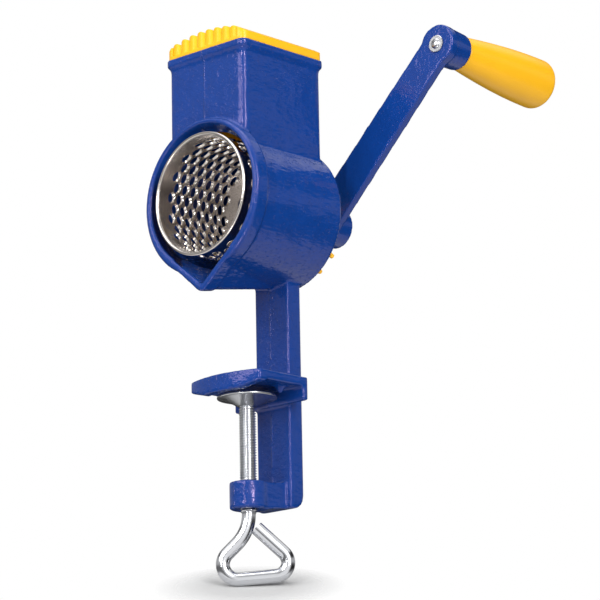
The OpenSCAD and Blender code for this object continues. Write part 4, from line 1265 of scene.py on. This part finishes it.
class GRINDER_OT_stage(Operator):
    """Sets the camera, the lamps, the white world and the floor"""

    bl_idname = "grinder.stage"
    bl_label = "Set the stage"

    def execute(self, context):
        scene = context.scene
        setup = scene.grinder_stage
        scene.view_settings.view_transform = "Standard"
        aim = Vector((setup.aim_x, setup.aim_y, setup.aim_z))
        across = math.cos(setup.camera_elevation)
        back = Vector((math.sin(setup.camera_azimuth) * across,
                       -math.cos(setup.camera_azimuth) * across, math.sin(setup.camera_elevation)))
        data = bpy.data.cameras.new("camera")
        data.sensor_width = 36.0
        data.lens = setup.camera_focal / PHOTO_PIXELS * data.sensor_width
        data.clip_start = 0.05
        data.clip_end = 20
        camera = bpy.data.objects.new("camera", data)
        scene.collection.objects.link(camera)
        camera.rotation_mode = "QUATERNION"
        turn = (-back).to_track_quat("-Z", "Y")
        camera.rotation_quaternion = turn @ Matrix.Rotation(setup.camera_roll, 4, "Z").to_quaternion()
        camera.location = aim + back * setup.camera_distance
        scene.camera = camera
        self.light_world(scene)
        self.lay_floor(scene)
        level = setup.lamp_level
        add_lamp("key", aim + Vector((-0.3, -1.05, 0.55)), aim, 0.6, 0.6, 5.5, level)
        add_lamp("fill", aim + Vector((1.1, -0.45, 0.45)), aim, 0.6, 0.9, 5, level)
        over = back * 1.2 + Vector((0, 0, 0.6))
        for name, turn in (("strip left", -27), ("strip right", 27)):
            place = aim + Matrix.Rotation(math.radians(turn), 3, "Z") @ over
            add_lamp(name, place, aim, 0.07, 0.6, 4.6, level)
        add_lamp("low", aim + Vector((0.3, -0.75, -0.85)), aim, 0.25, 0.25, 2.2, level)
        under = add_lamp("under", aim + Vector((1.1, 0.1, -0.5)), aim, 0.7, 0.7, 2.5, level)
        under.visible_glossy = False
        add_lamp("top", aim + Vector((0, -0.1, 1.0)), aim, 0.8, 0.8, 5, level)
        return {"FINISHED"}

    def lay_floor(self, scene):
        setup = scene.grinder_stage
        bm = bmesh.new()
        bmesh.ops.create_circle(bm, cap_ends=True, segments=64, radius=setup.floor_radius)
        lean = Vector((0, 0, 1)).rotation_difference(Vector((setup.lean_x, setup.lean_y, 1)))
        bm.transform(Matrix.Translation((setup.floor_x, setup.floor_y, setup.floor_z))
                     @ lean.to_matrix().to_4x4())
        floor = object_from("floor", bm)
        floor.data.materials.append(floor_finish())

    def light_world(self, scene):
        """White backdrop, and a studio with soft boxes that only the reflections show."""
        world = bpy.data.worlds.new("studio")
        n = Nodes(world, "OutputWorld")
        place = n.add("SeparateXYZ")
        n.link(n.add("TexCoord").outputs["Generated"], place.inputs[0])
        behind = n.levels(place.outputs["Z"], BANDS_BEHIND)
        before = n.levels(place.outputs["Z"], BANDS_BEFORE)
        room = n.add("Mix", data_type="RGBA")
        n.link(n.ramp(place.outputs["Y"], -0.1, 0.25), room.inputs["Factor"])
        side = n.math("MULTIPLY", n.ramp(place.outputs["X"], 0.45, 0.65), 0.95)
        n.link(n.math("MAXIMUM", before, side), room.inputs[6])
        n.link(behind, room.inputs[7])
        seen, mirrored, light = (n.add("Background") for _ in range(3))
        n.link(room.outputs[2], mirrored.inputs["Color"])
        seen.inputs["Color"].default_value = (1, 1, 1, 1)
        light.inputs["Color"].default_value = (1, 1, 1, 1)
        light.inputs["Strength"].default_value = scene.grinder_stage.world_level
        path = n.add("LightPath")
        clear = n.math("MAXIMUM", path.outputs["Is Camera Ray"], path.outputs["Is Transmission Ray"])
        shown = n.blend(path.outputs["Is Glossy Ray"], light.outputs[0], mirrored.outputs[0])
        n.link(n.blend(clear, shown, seen.outputs[0]), n.output.inputs[0])
        scene.world = world


class GRINDER_PT_panel(Panel):
    """Lists the pieces and the stage"""

    bl_label = "Nut grinder"
    bl_idname = "GRINDER_PT_panel"
    bl_space_type = "VIEW_3D"
    bl_region_type = "UI"
    bl_category = "Grinder"

    def draw(self, context):
        for operator in OPERATORS:
            self.layout.operator(operator.bl_idname)


GROUPS = {"grinder_colours": FinishColours, "grinder_housing": HousingSizes,
          "grinder_hopper": HopperSizes, "grinder_clamp": ClampSizes,
          "grinder_pusher": PusherSizes, "grinder_drum": DrumSizes, "grinder_crank": CrankSizes,
          "grinder_handle": HandleSizes, "grinder_screw": ScrewSizes, "grinder_stage": StageSetup}
OPERATORS = (GRINDER_OT_casting, GRINDER_OT_pusher, GRINDER_OT_drum, GRINDER_OT_crank,
             GRINDER_OT_handle, GRINDER_OT_screw, GRINDER_OT_finish_nodes, GRINDER_OT_stage)
CLASSES = (*GROUPS.values(), *OPERATORS, GRINDER_PT_panel)


def register():
    for item in CLASSES:
        bpy.utils.register_class(item)
    for name, group in GROUPS.items():
        setattr(bpy.types.Scene, name, PointerProperty(type=group))


def unregister():
    for name in GROUPS:
        delattr(bpy.types.Scene, name)
    for item in reversed(CLASSES):
        bpy.utils.unregister_class(item)


def main():
    register()
    for operator in OPERATORS:
        group, name = operator.bl_idname.split(".")
        getattr(getattr(bpy.ops, group), name)()


if __name__ == "__main__":
    main()
